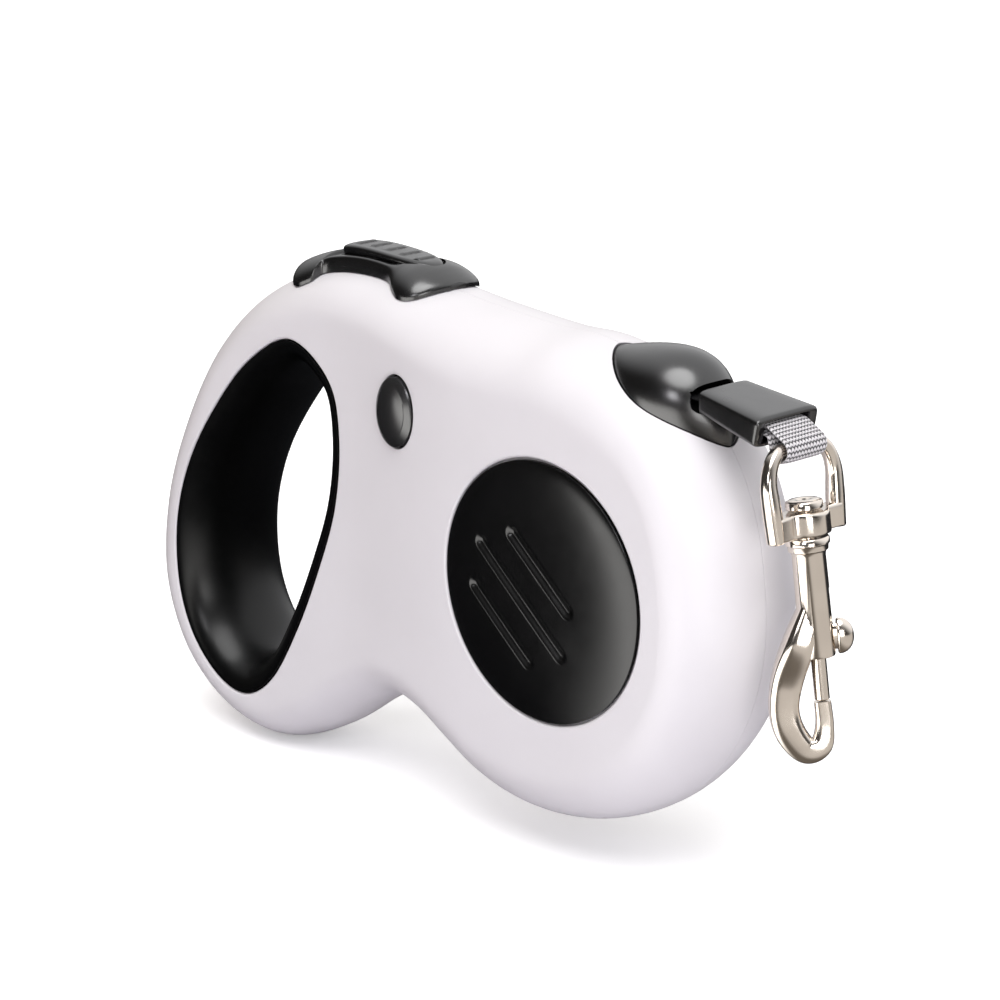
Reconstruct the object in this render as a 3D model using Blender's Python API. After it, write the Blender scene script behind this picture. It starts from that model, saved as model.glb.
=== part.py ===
"""Retractable leash: moulded case with a finger opening, tape reel, thumb brake and bolt snap.

Sizes are in millimetres and become metres when a mesh is made. The layout is worked out around
the reel: x runs forward to the tape exit, y to the left and z up, with the axle at the origin.
The root empty then carries everything to the part's own origin, in the middle under the case.
"""

import math
from dataclasses import dataclass

import bmesh
import bpy
import numpy as np

MM = 0.001

# Clearances between pieces
FIT_GAP = 0.3
RUN_GAP = 0.45

# The part's origin lies this far from the axle, level with the lowest point of the case
ORIGIN_X = -37.46

# Side outline of the case: a reel arc with a fuller front shoulder, then the handle
ARC_CENTRE = (-7.0, -1.0)
ARC_RADIUS = 55.0
ARC_SPAN_DEG = (-122.0, 97.0)
SHOULDER_SPAN_DEG = (5.0, 80.0)
SHOULDER_BULGE = 2.8
HANDLE_POINTS = (
    (-36.0, 55.2), (-58.0, 57.6), (-80.0, 56.9), (-101.0, 49.6), (-118.0, 35.5),
    (-131.0, 16.0), (-140.0, -6.0), (-142.0, -28.5), (-134.0, -48.0), (-118.5, -60.0),
    (-100.0, -63.3), (-84.0, -57.0), (-70.0, -47.5), (-58.0, -41.5), (-47.0, -42.5),
)
OUTLINE_STEPS = 60

# Section of the case: a rounded edge that rises to a flat side
HALF_REEL = 19.0
HALF_HANDLE = 15.5
EDGE_REEL = 13.0
EDGE_HANDLE = 10.0
BLEND_X = (-75.0, -25.0)
WALL = 2.0

# Finger opening and its liner
OPENING_POINTS = (
    (-69.0, 20.0), (-72.5, 33.0), (-86.0, 40.5), (-101.0, 33.0), (-114.0, 19.5),
    (-124.5, 4.0), (-130.0, -12.0), (-130.0, -28.0), (-125.0, -40.5), (-115.5, -49.0),
    (-105.0, -51.0), (-95.0, -44.5), (-86.0, -31.0), (-78.0, -15.0), (-71.0, 3.0),
)
OPENING_STEPS = 48
LINER_WALL = 2.0
LINER_SWELL = 8.0

# Round covers
COVER_RADIUS = 29.0
COVER_RISE = 1.6
COVER_FLAT_RADIUS = 14.0
COVER_SEAT_DEPTH = 1.6
FLOOR_WALL = 2.2
FLOOR_LIP = 2.5
GROOVE_TILT_DEG = -39.7
GROOVE_WIDTH = 3.0
GROOVE_DEPTH = 0.6
GROOVE_PITCH = 9.2
GROOVE_MIDDLE = -4.2
GROOVE_SHIFT = -2.2
GROOVE_LENGTHS = (25.0, 35.0, 25.0)

# Reel
AXLE_RADIUS = 4.0
SOCKET_WALL = 3.2
SOCKET_DEPTH = 3.7
DRUM_RADIUS = 20.0
DRUM_WALL = 2.0
SPOOL_WEB = 3.1
FLANGE_RADIUS = 38.5
FLANGE_WALL = 1.6
SPRING_COVER_WALL = 1.5
SPRING_COVER_LAP = 1.0
SPRING_STRIP = 0.6
SPRING_TURNS = 6
SPRING_WIDTH = 10.5

# Tape
TAPE_WIDTH = 12.4
TAPE_THICKNESS = 0.9
TAPE_LENGTH = 3000.0
CHANNEL_GAP = 0.5

# Nozzle: a leaf-shaped nose whose chord is seated on the front shoulder of the reel arc
NOSE_ANGLE_DEG = 57.4
NOSE_SINK = 1.7
NOSE_LENGTH = 37.5
NOSE_TILT_DEG = -26.6
NOSE_HEIGHT = 11.5
NOSE_HALF_WIDTH = 12.0
NOSE_DEPTH = 4.0
TAPE_EXIT_RISE = 2.5
GUIDE_PIN_AHEAD = 4.3
GUIDE_PIN_RADIUS = 1.5
GUIDE_PIN_LAP = 2.55
TAPE_SPLIT_AHEAD = 8.3
SLOT_HALF_HEIGHT = 1.6

# Stopper sleeve on the tape
SLEEVE_AHEAD = 13.1
SLEEVE_LENGTH = 17.4
SLEEVE_DROP = 3.2
SLEEVE_SIDE_WALLS = (1.05, 2.85)
SLEEVE_HALF_HEIGHTS = (2.6, 3.3)
SLEEVE_MOUTH_HALF = 2.35
SLEEVE_TAPE_INSERT = 5.0
SLEEVE_LOOP_INSERT = 8.0
PLY_SPREAD = 0.95

# Brake saddle: x, half width and height over the ridge
SADDLE_STATIONS = (
    (-97.0, 1.2, 0.5), (-96.0, 4.0, 1.9), (-93.6, 7.2, 3.1), (-90.5, 10.0, 3.5), (-87.5, 11.4, 3.7),
    (-85.0, 10.3, 3.8), (-82.5, 7.8, 3.9), (-79.0, 6.9, 3.9), (-70.0, 6.7, 3.9), (-63.5, 6.9, 3.9),
    (-60.0, 7.7, 3.9), (-57.0, 9.7, 3.9), (-53.5, 11.3, 3.6), (-50.5, 11.0, 3.0), (-48.3, 9.4, 2.2),
    (-46.6, 6.4, 1.4), (-45.4, 2.5, 0.7),
)
SADDLE_EDGE = 0.6

# Brake button, lever and shoe
BUTTON_MIDDLE_X = -66.0
BUTTON_LENGTH = 29.0
BUTTON_HALF_WIDTH = 5.0
BUTTON_END_POWERS = (5.0, 2.5)
BUTTON_TOPS = (5.25, 4.05)
BUTTON_EDGE = 0.9
BUTTON_TRAVEL = 2.6
BUTTON_STOP = 0.1
BUTTON_RIBS = 5
RIB_PITCH = 4.9
RIB_SIZE = (1.3, 6.6, 0.5)
STEM_X = -67.0
STEM_SIZE = (6.0, 5.0)
LEVER_PIVOT = (-22.0, 43.5)
LEVER_PIN_RADIUS = 1.5
LEVER_EYE_RADIUS = 3.2
LEVER_HALF_WIDTH = 3.0
LEVER_TAIL_LAP = 1.0
LEVER_HEEL_X = -44.0
LEVER_NECK_X = -40.0
LEVER_TOP_Z = 47.0
LEVER_BAR_HEIGHT = 3.4
SHOE_ANGLE_DEG = 135.0
SHOE_HALF_SPAN_DEG = 7.0
SHOE_THICKNESS = 4.0
SHOE_FOOT = 3.0
SHOE_RUN_GAP = 0.3
BRAKE_SPRING_X = -60.0
BRAKE_SPRING_RADIUS = 2.4
BRAKE_SPRING_LENGTH = 9.5
SHELF_HALF = 4.0
SHELF_WALL = 3.0

# Side lock button
LOCK_CENTRE = (-47.0, 31.0)
LOCK_HALF = (5.85, 8.2)
LOCK_RISE = 2.4
LOCK_FLANGE_LIP = 1.4
LOCK_FLANGE_WALL = 1.2
LOCK_POST_RADIUS = 3.0
LOCK_POST_END_Y = 2.7
LOCK_SPRING_RADIUS = 3.6

# Case screws, put in from the left
REEL_SCREWS_DEG = (-124.0, -80.0)
REEL_SCREW_GAPS = (6.7, 1.6)
HANDLE_SCREWS = ((-57.0, -24.0), (-134.0, -18.0), (-96.5, -53.6))
SCREW_SHANK_RADIUS = 1.4
SCREW_HEAD_RADIUS = 2.7
SCREW_HEAD_HEIGHT = 1.8
SCREW_SEAT_Y = 7.0
SCREW_REACH_Y = 8.0
BOSS_WALL = 1.3

# Bolt snap, measured down from the bar that the webbing holds; the hook's points from the bolt's end
SNAP_AHEAD = 3.1
SNAP_DROP = 3.4
SNAP_TILT_DEG = 9.0
HOOK_TURN_DEG = 46.0
BAIL_HALF_WIDTH = 10.1
BAIL_BAR_RADIUS = 1.5
BAIL_LEG_RADIUS = 2.0
BAIL_LEG_LEAN = 0.8
BAIL_CORNER = (5.0, 7.5)
BAIL_LEG_LAP = 4.8
CROSS_TOP = 13.2
CROSS_HEIGHT = 5.0
CROSS_THICKNESS = 4.2
CROSS_BOSS_RADIUS = 5.2
STEM_RADIUS = 1.7
RIVET_RADIUS = 3.9
RIVET_HEIGHT = 2.1
COLLAR_RADIUS = 4.6
COLLAR_HEIGHT = 2.8
BARREL_RADIUS = 3.65
BARREL_END = 43.7
BOLT_RADIUS = 1.6
BOLT_TOP = 36.1
BOLT_END = 52.9
BOLT_TRAVEL = 6.0
KNOB_REACH = 7.7
KNOB_HEIGHT = 7.5
KNOB_HALF = 2.0
NECK_HALF = 0.95
HOOK_POINTS = (
    (-0.6, 19.6, 2.5), (-3.3, 13.1, 3.3), (-6.4, 6.1, 3.35), (-8.0, -0.4, 3.15),
    (-7.3, -5.8, 3.15), (-4.4, -10.1, 2.8), (-1.1, -9.4, 2.35), (0.0, -5.2, 1.9),
)
HOOK_TIP_RADIUS = 1.75
HOOK_DEPTH_SHARE = 0.78


@dataclass(frozen=True)
class Finish:
    """Colour, roughness and metallic value of one material."""

    name: str
    colour: tuple
    roughness: float
    metallic: float = 0.0


WHITE_PLASTIC = Finish("white_plastic", (0.86, 0.85, 0.87), 0.32)
BLACK_PLASTIC = Finish("black_plastic", (0.015, 0.015, 0.016), 0.35)
BLACK_RUBBER = Finish("black_rubber", (0.012, 0.012, 0.013), 0.55)
GREY_PLASTIC = Finish("grey_plastic", (0.10, 0.10, 0.105), 0.42)
INNER_PLASTIC = Finish("inner_plastic", (0.30, 0.31, 0.33), 0.5)
NICKEL = Finish("nickel", (0.72, 0.68, 0.63), 0.22, 1.0)
STEEL = Finish("steel", (0.55, 0.56, 0.58), 0.3, 1.0)
WEBBING = Finish("webbing", (0.36, 0.35, 0.36), 0.9)


def material_of(finish):
    """The Blender material of a finish, made once."""
    found = bpy.data.materials.get(finish.name)
    if found:
        return found
    made = bpy.data.materials.new(finish.name)
    made.use_nodes = True
    shader = made.node_tree.nodes["Principled BSDF"]
    shader.inputs["Base Color"].default_value = (*finish.colour, 1.0)
    shader.inputs["Roughness"].default_value = finish.roughness
    shader.inputs["Metallic"].default_value = finish.metallic
    return made


# Points and curves


def catmull_rom(points, steps, closed=True):
    """A smooth curve through the points, with the given steps for each span."""
    points = np.asarray(points, float)
    if closed:
        around = np.concatenate([points[-1:], points, points[:2]])
        spans = len(points)
    else:
        around = np.concatenate([2 * points[:1] - points[1:2], points, 2 * points[-1:] - points[-2:-1]])
        spans = len(points) - 1
    t = np.linspace(0.0, 1.0, steps, endpoint=False)[:, None]
    made = []
    for i in range(spans):
        a, b, c, d = around[i : i + 4]
        bend = (2 * a - 5 * b + 4 * c - d) * t**2 + (3 * b - a - 3 * c + d) * t**3
        made.append(b + 0.5 * ((c - a) * t + bend))
    if not closed:
        made.append(points[-1:])
    return np.concatenate(made)


def resampled(points, count):
    """A closed polyline with its points evenly spread along its length."""
    ring = np.concatenate([points, points[:1]])
    run = np.concatenate([[0.0], np.cumsum(np.linalg.norm(np.diff(ring, axis=0), axis=1))])
    at = np.linspace(0.0, run[-1], count, endpoint=False)
    return np.stack([np.interp(at, run, ring[:, k]) for k in range(ring.shape[1])], axis=1)


def inward_normals(loop):
    """Unit normals of a closed polyline that point to its inside."""
    along = np.roll(loop, -1, axis=0) - np.roll(loop, 1, axis=0)
    normal = np.stack([-along[:, 1], along[:, 0]], axis=1)
    normal /= np.linalg.norm(normal, axis=1)[:, None]
    x, z = loop.T
    area = np.sum(x * np.roll(z, -1) - z * np.roll(x, -1))
    return normal if area > 0 else -normal


def circle(radius, steps, centre=(0.0, 0.0)):
    turn = np.linspace(0.0, 2 * math.pi, steps, endpoint=False)
    return np.stack([centre[0] + radius * np.cos(turn), centre[1] + radius * np.sin(turn)], axis=1)


def oval(half_x, half_z, steps, power=2.0):
    """A superellipse about the origin."""
    turn = np.linspace(0.0, 2 * math.pi, steps, endpoint=False)
    c, s = np.cos(turn), np.sin(turn)
    share = 2.0 / power
    across = half_x * np.sign(c) * np.abs(c) ** share
    up = half_z * np.sign(s) * np.abs(s) ** share
    return np.stack([across, up], axis=1)


def stadium(length, half_width, steps):
    """A slot with round ends, along the first axis and about the origin."""
    straight = length / 2 - half_width
    turn = np.linspace(-math.pi / 2, math.pi / 2, steps)
    front = np.stack([straight + half_width * np.cos(turn), half_width * np.sin(turn)], axis=1)
    return np.concatenate([front, -front])


def polar(radius, degrees):
    a = math.radians(degrees)
    return radius * math.cos(a), radius * math.sin(a)


# Places that follow other sizes

NOSE_SEAT = np.array(ARC_CENTRE) + polar(ARC_RADIUS - NOSE_SINK, NOSE_ANGLE_DEG)
NOSE_REAR = NOSE_SEAT - polar(NOSE_LENGTH / 2, NOSE_TILT_DEG)
NOSE_FRONT = NOSE_SEAT + polar(NOSE_LENGTH / 2, NOSE_TILT_DEG)
TAPE_EXIT_Z = NOSE_SEAT[1] + TAPE_EXIT_RISE
GUIDE_PIN_X = NOSE_SEAT[0] + GUIDE_PIN_AHEAD
TAPE_SPLIT_X = NOSE_SEAT[0] + TAPE_SPLIT_AHEAD
SLEEVE_REAR_X = NOSE_SEAT[0] + SLEEVE_AHEAD
SLEEVE_SIDES = tuple(TAPE_WIDTH / 2 + RUN_GAP + wall for wall in SLEEVE_SIDE_WALLS)
SLEEVE_REAR_HALF, SLEEVE_FRONT_HALF = zip(SLEEVE_SIDES, SLEEVE_HALF_HEIGHTS)
GUIDE_PIN_HALF = TAPE_WIDTH / 2 + RUN_GAP + GUIDE_PIN_LAP
SNAP_BAR = (SLEEVE_REAR_X + SLEEVE_LENGTH + SNAP_AHEAD, TAPE_EXIT_Z - SLEEVE_DROP - SNAP_DROP)
LEVER_TAIL_X = STEM_X - STEM_SIZE[0] / 2 - LEVER_TAIL_LAP
BOSS_RADIUS = SCREW_HEAD_RADIUS + RUN_GAP + BOSS_WALL
REEL_SCREWS = tuple(
    polar(FLANGE_RADIUS + gap + BOSS_RADIUS, angle) for gap, angle in zip(REEL_SCREW_GAPS, REEL_SCREWS_DEG)
)
SCREW_PLACES = REEL_SCREWS + HANDLE_SCREWS
BAIL_LEG = CROSS_TOP + BAIL_LEG_LAP


# The case's form


def half_thickness(x):
    """Half the case's thickness at x."""
    t = np.clip((np.asarray(x, float) - BLEND_X[0]) / (BLEND_X[1] - BLEND_X[0]), 0.0, 1.0)
    return HALF_HANDLE + (HALF_REEL - HALF_HANDLE) * t * t * (3 - 2 * t)


def edge_depth(x):
    """How far the rounded edge reaches in from the outline at x."""
    t = np.clip((np.asarray(x, float) - BLEND_X[0]) / (BLEND_X[1] - BLEND_X[0]), 0.0, 1.0)
    return EDGE_HANDLE + (EDGE_REEL - EDGE_HANDLE) * t * t * (3 - 2 * t)


def outline_curve():
    """The dense side outline of the case, as x and z."""
    angles = np.arange(ARC_SPAN_DEG[0], ARC_SPAN_DEG[1] + 0.1, (ARC_SPAN_DEG[1] - ARC_SPAN_DEG[0]) / 18)
    share = np.clip((angles - SHOULDER_SPAN_DEG[0]) / (SHOULDER_SPAN_DEG[1] - SHOULDER_SPAN_DEG[0]), 0, 1)
    radius = ARC_RADIUS + SHOULDER_BULGE * np.sin(math.pi * share) ** 2
    arc = np.stack(
        [
            ARC_CENTRE[0] + radius * np.cos(np.radians(angles)),
            ARC_CENTRE[1] + radius * np.sin(np.radians(angles)),
        ],
        axis=1,
    )
    return catmull_rom(np.concatenate([arc, HANDLE_POINTS]), 10)


OUTLINE_FINE = outline_curve()
OUTLINE = resampled(OUTLINE_FINE, OUTLINE_STEPS)
OUTLINE_IN = inward_normals(OUTLINE)


def ridge_height(x):
    """Height of the top ridge at x."""
    top = OUTLINE_FINE[OUTLINE_FINE[:, 1] > 30.0]
    top = top[np.argsort(top[:, 0])]
    return np.interp(x, top[:, 0], top[:, 1])


def ridge_drop(x, y):
    """How far the case's surface lies under its ridge at y off the middle."""
    share = np.clip(np.asarray(y, float) / half_thickness(x), -1.0, 1.0)
    return edge_depth(x) * (1.0 - np.sqrt(1.0 - share**2))


def depth_in_outline(x, z):
    """Distance of a point in the side view from the outline."""
    return float(np.min(np.linalg.norm(OUTLINE_FINE - np.array([x, z]), axis=1)))


def surface_height(x, z):
    """Half thickness of the case's outer surface over a point of the side view."""
    share = min(depth_in_outline(x, z) / float(edge_depth(x)), 1.0)
    return float(half_thickness(x)) * math.sqrt(1.0 - (1.0 - share) ** 2)


OPENING = resampled(catmull_rom(OPENING_POINTS, 10), OPENING_STEPS)
OPENING_IN = inward_normals(OPENING)


# Solids as points and faces


def loft(rings, closed=False):
    """A solid through rings of equal length: capped at both ends, or joined last to first."""
    rings = np.asarray(rings, float)
    count, steps, _ = rings.shape
    faces = []
    for i in range(count if closed else count - 1):
        a, b = i * steps, ((i + 1) % count) * steps
        for j in range(steps):
            k = (j + 1) % steps
            faces.append((a + j, a + k, b + k, b + j))
    if not closed:
        faces.append(tuple(reversed(range(steps))))
        faces.append(tuple(range((count - 1) * steps, count * steps)))
    return rings.reshape(-1, 3), faces


def prism(outline, y_from, y_to):
    """A side-view outline of x and z, extruded along y."""
    outline = np.asarray(outline, float)
    rings = [np.insert(outline, 1, y, axis=1) for y in (y_from, y_to)]
    return loft(rings)


def cylinder(centre, radius, y_from, y_to, steps=24):
    return prism(circle(radius, steps, centre), y_from, y_to)


def box(low, high):
    corners = ((low[0], low[2]), (high[0], low[2]), (high[0], high[2]), (low[0], high[2]))
    return prism(corners, low[1], high[1])


def turned(profile, steps, hollow, centre=(0.0, 0.0)):
    """A profile of radius and y turned about the y direction: a ring, or a solid with flat ends."""
    rings = [np.insert(circle(r, steps, centre), 1, y, axis=1) for r, y in profile]
    return loft(rings, closed=hollow)


def swept(path, sections):
    """A solid along a path of points, with one section of offsets in its normal plane at each point."""
    path = np.asarray(path, float)
    along = np.gradient(path, axis=0)
    along /= np.linalg.norm(along, axis=1)[:, None]
    side = np.cross(along[0], (0.0, 1.0, 0.0))
    if np.linalg.norm(side) < 0.1:
        side = np.cross(along[0], (1.0, 0.0, 0.0))
    side /= np.linalg.norm(side)
    rings = []
    for point, direction, section in zip(path, along, sections):
        side = side - direction * np.dot(side, direction)
        side /= np.linalg.norm(side)
        up = np.cross(direction, side)
        rings.append(point + section[:, :1] * side + section[:, 1:] * up)
    return loft(rings)


def strip(path, width, thickness):
    """A flat band along a side-view path, with its width along y."""
    path = np.asarray(path, float)
    along = np.gradient(path, axis=0)
    normal = np.stack([-along[:, 1], along[:, 0]], axis=1)
    normal /= np.linalg.norm(normal, axis=1)[:, None]
    rings = []
    for point, side in zip(path, normal):
        high, low = point + side * thickness / 2, point - side * thickness / 2
        rings.append(
            [
                (low[0], -width / 2, low[1]),
                (low[0], width / 2, low[1]),
                (high[0], width / 2, high[1]),
                (high[0], -width / 2, high[1]),
            ]
        )
    return loft(rings)


def coil(start, end, radius, wire, turns, steps=8):
    """A coil spring from start to end, both on its axis."""
    start, end = np.asarray(start, float), np.asarray(end, float)
    axis = (end - start) / np.linalg.norm(end - start)
    side = np.cross(axis, (1.0, 0.0, 0.0))
    if np.linalg.norm(side) < 0.1:
        side = np.cross(axis, (0.0, 1.0, 0.0))
    side /= np.linalg.norm(side)
    other = np.cross(axis, side)
    turn = np.linspace(0.0, 2 * math.pi * turns, turns * steps + 1)
    rise = np.linspace(wire, np.linalg.norm(end - start) - wire, len(turn))
    round_axis = np.cos(turn)[:, None] * side + np.sin(turn)[:, None] * other
    path = start + rise[:, None] * axis + radius * round_axis
    return swept(path, [circle(wire, 5)] * len(path))


# Objects


class Assembly:
    """Makes the named objects and the empties that carry them."""

    def __init__(self):
        self.root = self.empty("leash", (0.0, 0.0, 0.0), None)
        self.root.location = (-ORIGIN_X * MM, 0.0, -float(OUTLINE[:, 1].min()) * MM)
        self.helpers = 0

    def empty(self, name, place, parent):
        """An empty on a joint's axis; place is seen from the reel's axle."""
        made = bpy.data.objects.new(name, None)
        made.empty_display_size = 0.01
        bpy.context.scene.collection.objects.link(made)
        made["place"] = tuple(float(v) for v in place)
        if parent:
            made.parent = parent
            made.location = [(p - q) * MM for p, q in zip(place, parent["place"])]
        return made

    def solid(self, name, shape, finish, carrier=None, smooth_deg=40.0):
        """An object from points and faces, under the empty that carries it."""
        carrier = carrier or self.root
        points, faces = shape
        place = np.array(carrier["place"])
        mesh = bpy.data.meshes.new(name)
        mesh.from_pydata(((np.asarray(points) - place) * MM).tolist(), [], faces)
        form = bmesh.new()
        form.from_mesh(mesh)
        bmesh.ops.recalc_face_normals(form, faces=form.faces)
        bmesh.ops.triangulate(form, faces=form.faces)
        if form.calc_volume(signed=True) < 0:
            bmesh.ops.reverse_faces(form, faces=form.faces)
        form.to_mesh(mesh)
        form.free()
        mesh.shade_smooth()
        mesh.set_sharp_from_angle(angle=math.radians(smooth_deg))
        made = bpy.data.objects.new(name, mesh)
        bpy.context.scene.collection.objects.link(made)
        made.parent = carrier
        if finish:
            mesh.materials.append(material_of(finish))
        return made

    def tool(self, shape):
        """A hidden helper for a Boolean."""
        self.helpers += 1
        made = self.solid(f"helper_{self.helpers:02d}", shape, None)
        made.hide_render = True
        made.display_type = "WIRE"
        return made

    def combine(self, target, operation, shape):
        step = target.modifiers.new(operation.lower(), "BOOLEAN")
        step.operation = operation
        step.solver = "EXACT"
        step.object = self.tool(shape)

    def join(self, target, *shapes):
        for shape in shapes:
            self.combine(target, "UNION", shape)

    def cut(self, target, *shapes):
        for shape in shapes:
            self.combine(target, "DIFFERENCE", shape)


# Case


def mirrored(shape, side):
    """The shape as made for +y, or its mirror image for -y."""
    points, faces = shape
    return np.asarray(points) * (1.0, side, 1.0), faces


def shell_form():
    """Half of the case for +y: rows from the flat side out to the rim, then back along the inside."""
    depth = edge_depth(OUTLINE[:, 0])[:, None]
    rim = FIT_GAP / 2
    rows = []
    for wall, angles in ((0.0, (90.0, 67.5, 45.0, 22.5, 0.0)), (WALL, (0.0, 30.0, 60.0, 90.0))):
        for angle in np.radians(angles):
            plan = OUTLINE + OUTLINE_IN * (wall + (depth - wall) * (1.0 - math.cos(angle)))
            height = rim + (half_thickness(plan[:, 0]) - wall - rim) * math.sin(angle)
            rows.append(np.insert(plan, 1, height, axis=1))
    return loft(rows)


def boss_end(x, z, radius):
    """How far out a boss can reach and stay inside the wall."""
    around = circle(radius, 16, (x, z))
    return min(surface_height(px, pz) for px, pz in around) - WALL / 3


def floor_heights():
    """Outer and inner face of the floor under a cover."""
    outer = HALF_REEL - COVER_SEAT_DEPTH
    return outer, outer - FLOOR_WALL


def nose_form(grow):
    """The leaf-shaped nose, grown all round by the given clearance."""
    along = np.array(polar(1.0, NOSE_TILT_DEG))
    out = np.array((-along[1], along[0]))
    rings = []
    turn = np.linspace(0.0, 2 * math.pi, 20, endpoint=False)
    for share in (0.015, 0.06, 0.15, 0.28, 0.42, 0.56, 0.7, 0.82, 0.91, 0.96, 0.985):
        belly = math.sin(math.pi * share)
        half = NOSE_HALF_WIDTH * belly**0.65 + grow
        high = NOSE_HEIGHT * math.sin(math.pi * share**1.25) ** 0.75 + grow
        low = NOSE_DEPTH * belly**0.5 + grow
        middle = NOSE_REAR + along * (share * NOSE_LENGTH + (share - 0.5) * 2 * grow)
        lift = np.where(np.sin(turn) > 0, high, low) * np.sin(turn)
        plan = middle + lift[:, None] * out
        rings.append(np.stack([plan[:, 0], half * np.cos(turn), plan[:, 1]], axis=1))
    return loft(rings)


def winding_radius():
    """Outer radius of the wound tape."""
    inner = DRUM_RADIUS + FIT_GAP
    return math.sqrt(inner**2 + TAPE_LENGTH * TAPE_THICKNESS / math.pi)


def make_shells(kit):
    shells = {}
    for name, side in (("right_shell", -1), ("left_shell", 1)):
        shell = kit.solid(name, mirrored(shell_form(), side), WHITE_PLASTIC)
        shells[name] = shell
        floor_out, floor_in = floor_heights()
        seat = COVER_RADIUS + RUN_GAP
        add = [
            cylinder((0, 0), seat + FLOOR_LIP, floor_in, floor_out + 0.3, 40),
            cylinder((0, 0), AXLE_RADIUS + FIT_GAP + SOCKET_WALL, floor_in - SOCKET_DEPTH, floor_in + 0.5),
        ]
        remove = [
            prism(OPENING, HALF_HANDLE / 2, HALF_REEL + 6),
            cylinder((0, 0), seat, floor_out, HALF_REEL + 6, 40),
            cylinder((0, 0), AXLE_RADIUS + FIT_GAP, floor_in - SOCKET_DEPTH - 1, floor_in),
        ]
        hole = SCREW_SHANK_RADIUS + FIT_GAP
        for x, z in SCREW_PLACES:
            add.append(cylinder((x, z), BOSS_RADIUS, FIT_GAP / 2, boss_end(x, z, BOSS_RADIUS), 12))
            if side > 0:
                head = SCREW_HEAD_RADIUS + RUN_GAP
                sink = ((hole, -1), (hole, SCREW_SEAT_Y), (head, SCREW_SEAT_Y), (head, HALF_REEL + 6))
                remove.append(turned(sink, 12, hollow=False, centre=(x, z)))
            else:
                remove.append(cylinder((x, z), hole, -1, SCREW_REACH_Y + FIT_GAP, 12))
        pin_boss = LEVER_PIN_RADIUS + FIT_GAP + BOSS_WALL
        pin_end = boss_end(*LEVER_PIVOT, pin_boss)
        add.append(cylinder(LEVER_PIVOT, pin_boss, LEVER_HALF_WIDTH + RUN_GAP, pin_end, 16))
        remove.append(cylinder(LEVER_PIVOT, LEVER_PIN_RADIUS + FIT_GAP, 1, pin_end - BOSS_WALL, 16))
        kit.join(shell, *[mirrored(shape, side) for shape in add])
        kit.cut(shell, *[mirrored(shape, side) for shape in remove])
        stem_x, stem_y = (half / 2 + RUN_GAP for half in STEM_SIZE)
        top = float(ridge_height(STEM_X))
        kit.cut(
            shell,
            nose_form(FIT_GAP),
            box((STEM_X - stem_x, -stem_y, top - 3 * WALL), (STEM_X + stem_x, stem_y, top + 6)),
        )
    x, z = LOCK_CENTRE
    half_x, half_z = LOCK_HALF
    reach = half_thickness(x)
    hole = oval(half_x + RUN_GAP, half_z + RUN_GAP, 28) + LOCK_CENTRE
    kit.cut(shells["right_shell"], prism(hole, -reach - 4, -reach + 2 * WALL))
    shelf_top = shelf_height()
    wall_y = float(half_thickness(BRAKE_SPRING_X)) - WALL / 2
    kit.join(
        shells["right_shell"],
        box(
            (BRAKE_SPRING_X - SHELF_HALF, -wall_y, shelf_top - SHELF_WALL),
            (BRAKE_SPRING_X + SHELF_HALF, SHELF_HALF, shelf_top),
        ),
    )
    post = cylinder(LOCK_CENTRE, LOCK_POST_RADIUS, -LOCK_POST_END_Y, reach - WALL / 2, 16)
    kit.join(shells["left_shell"], post)


def make_liner(kit):
    """The soft lining of the finger opening: a swelling band with round lips."""
    bend = np.radians((-90.0, -50.0, 0.0, 50.0, 90.0))
    rings = []
    half = half_thickness(OPENING[:, 0])
    for angle in bend:
        plan = OPENING + OPENING_IN * (FIT_GAP + (LINER_SWELL - FIT_GAP) * math.cos(angle))
        rings.append(np.insert(plan, 1, half * math.sin(angle), axis=1))
    for angle in bend[::-1]:
        plan = OPENING + OPENING_IN * (FIT_GAP + (LINER_SWELL - LINER_WALL - FIT_GAP) * math.cos(angle))
        rings.append(np.insert(plan, 1, (half - LINER_WALL) * math.sin(angle), axis=1))
    kit.solid("grip_liner", loft(rings, closed=True), BLACK_RUBBER)


def make_covers(kit):
    floor_out, _ = floor_heights()
    low = floor_out + FIT_GAP
    top = HALF_REEL + COVER_RISE
    profile = (
        (COVER_RADIUS - 0.6, low),
        (COVER_RADIUS, low + 0.6),
        (COVER_RADIUS, HALF_REEL),
        (COVER_RADIUS - 1.2, HALF_REEL + 0.6),
        ((COVER_RADIUS + COVER_FLAT_RADIUS) / 2, HALF_REEL + 0.82 * COVER_RISE),
        (COVER_FLAT_RADIUS, top),
    )
    tilt = math.radians(GROOVE_TILT_DEG)
    along = np.array((math.cos(tilt), math.sin(tilt)))
    across = np.array((-along[1], along[0]))
    for name, side in (("right_cover", -1), ("left_cover", 1)):
        disc = turned(profile, 48, hollow=False)
        cover = kit.solid(name, mirrored(disc, side), BLACK_PLASTIC, smooth_deg=30)
        for row, length in zip((1, 0, -1), GROOVE_LENGTHS):
            plan = stadium(length, GROOVE_WIDTH / 2, 7)
            middle = across * (GROOVE_MIDDLE + row * GROOVE_PITCH) + along * GROOVE_SHIFT
            plan = middle + plan[:, :1] * along + plan[:, 1:] * across
            kit.cut(cover, mirrored(prism(plan, top - GROOVE_DEPTH, top + 3), side))


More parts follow.
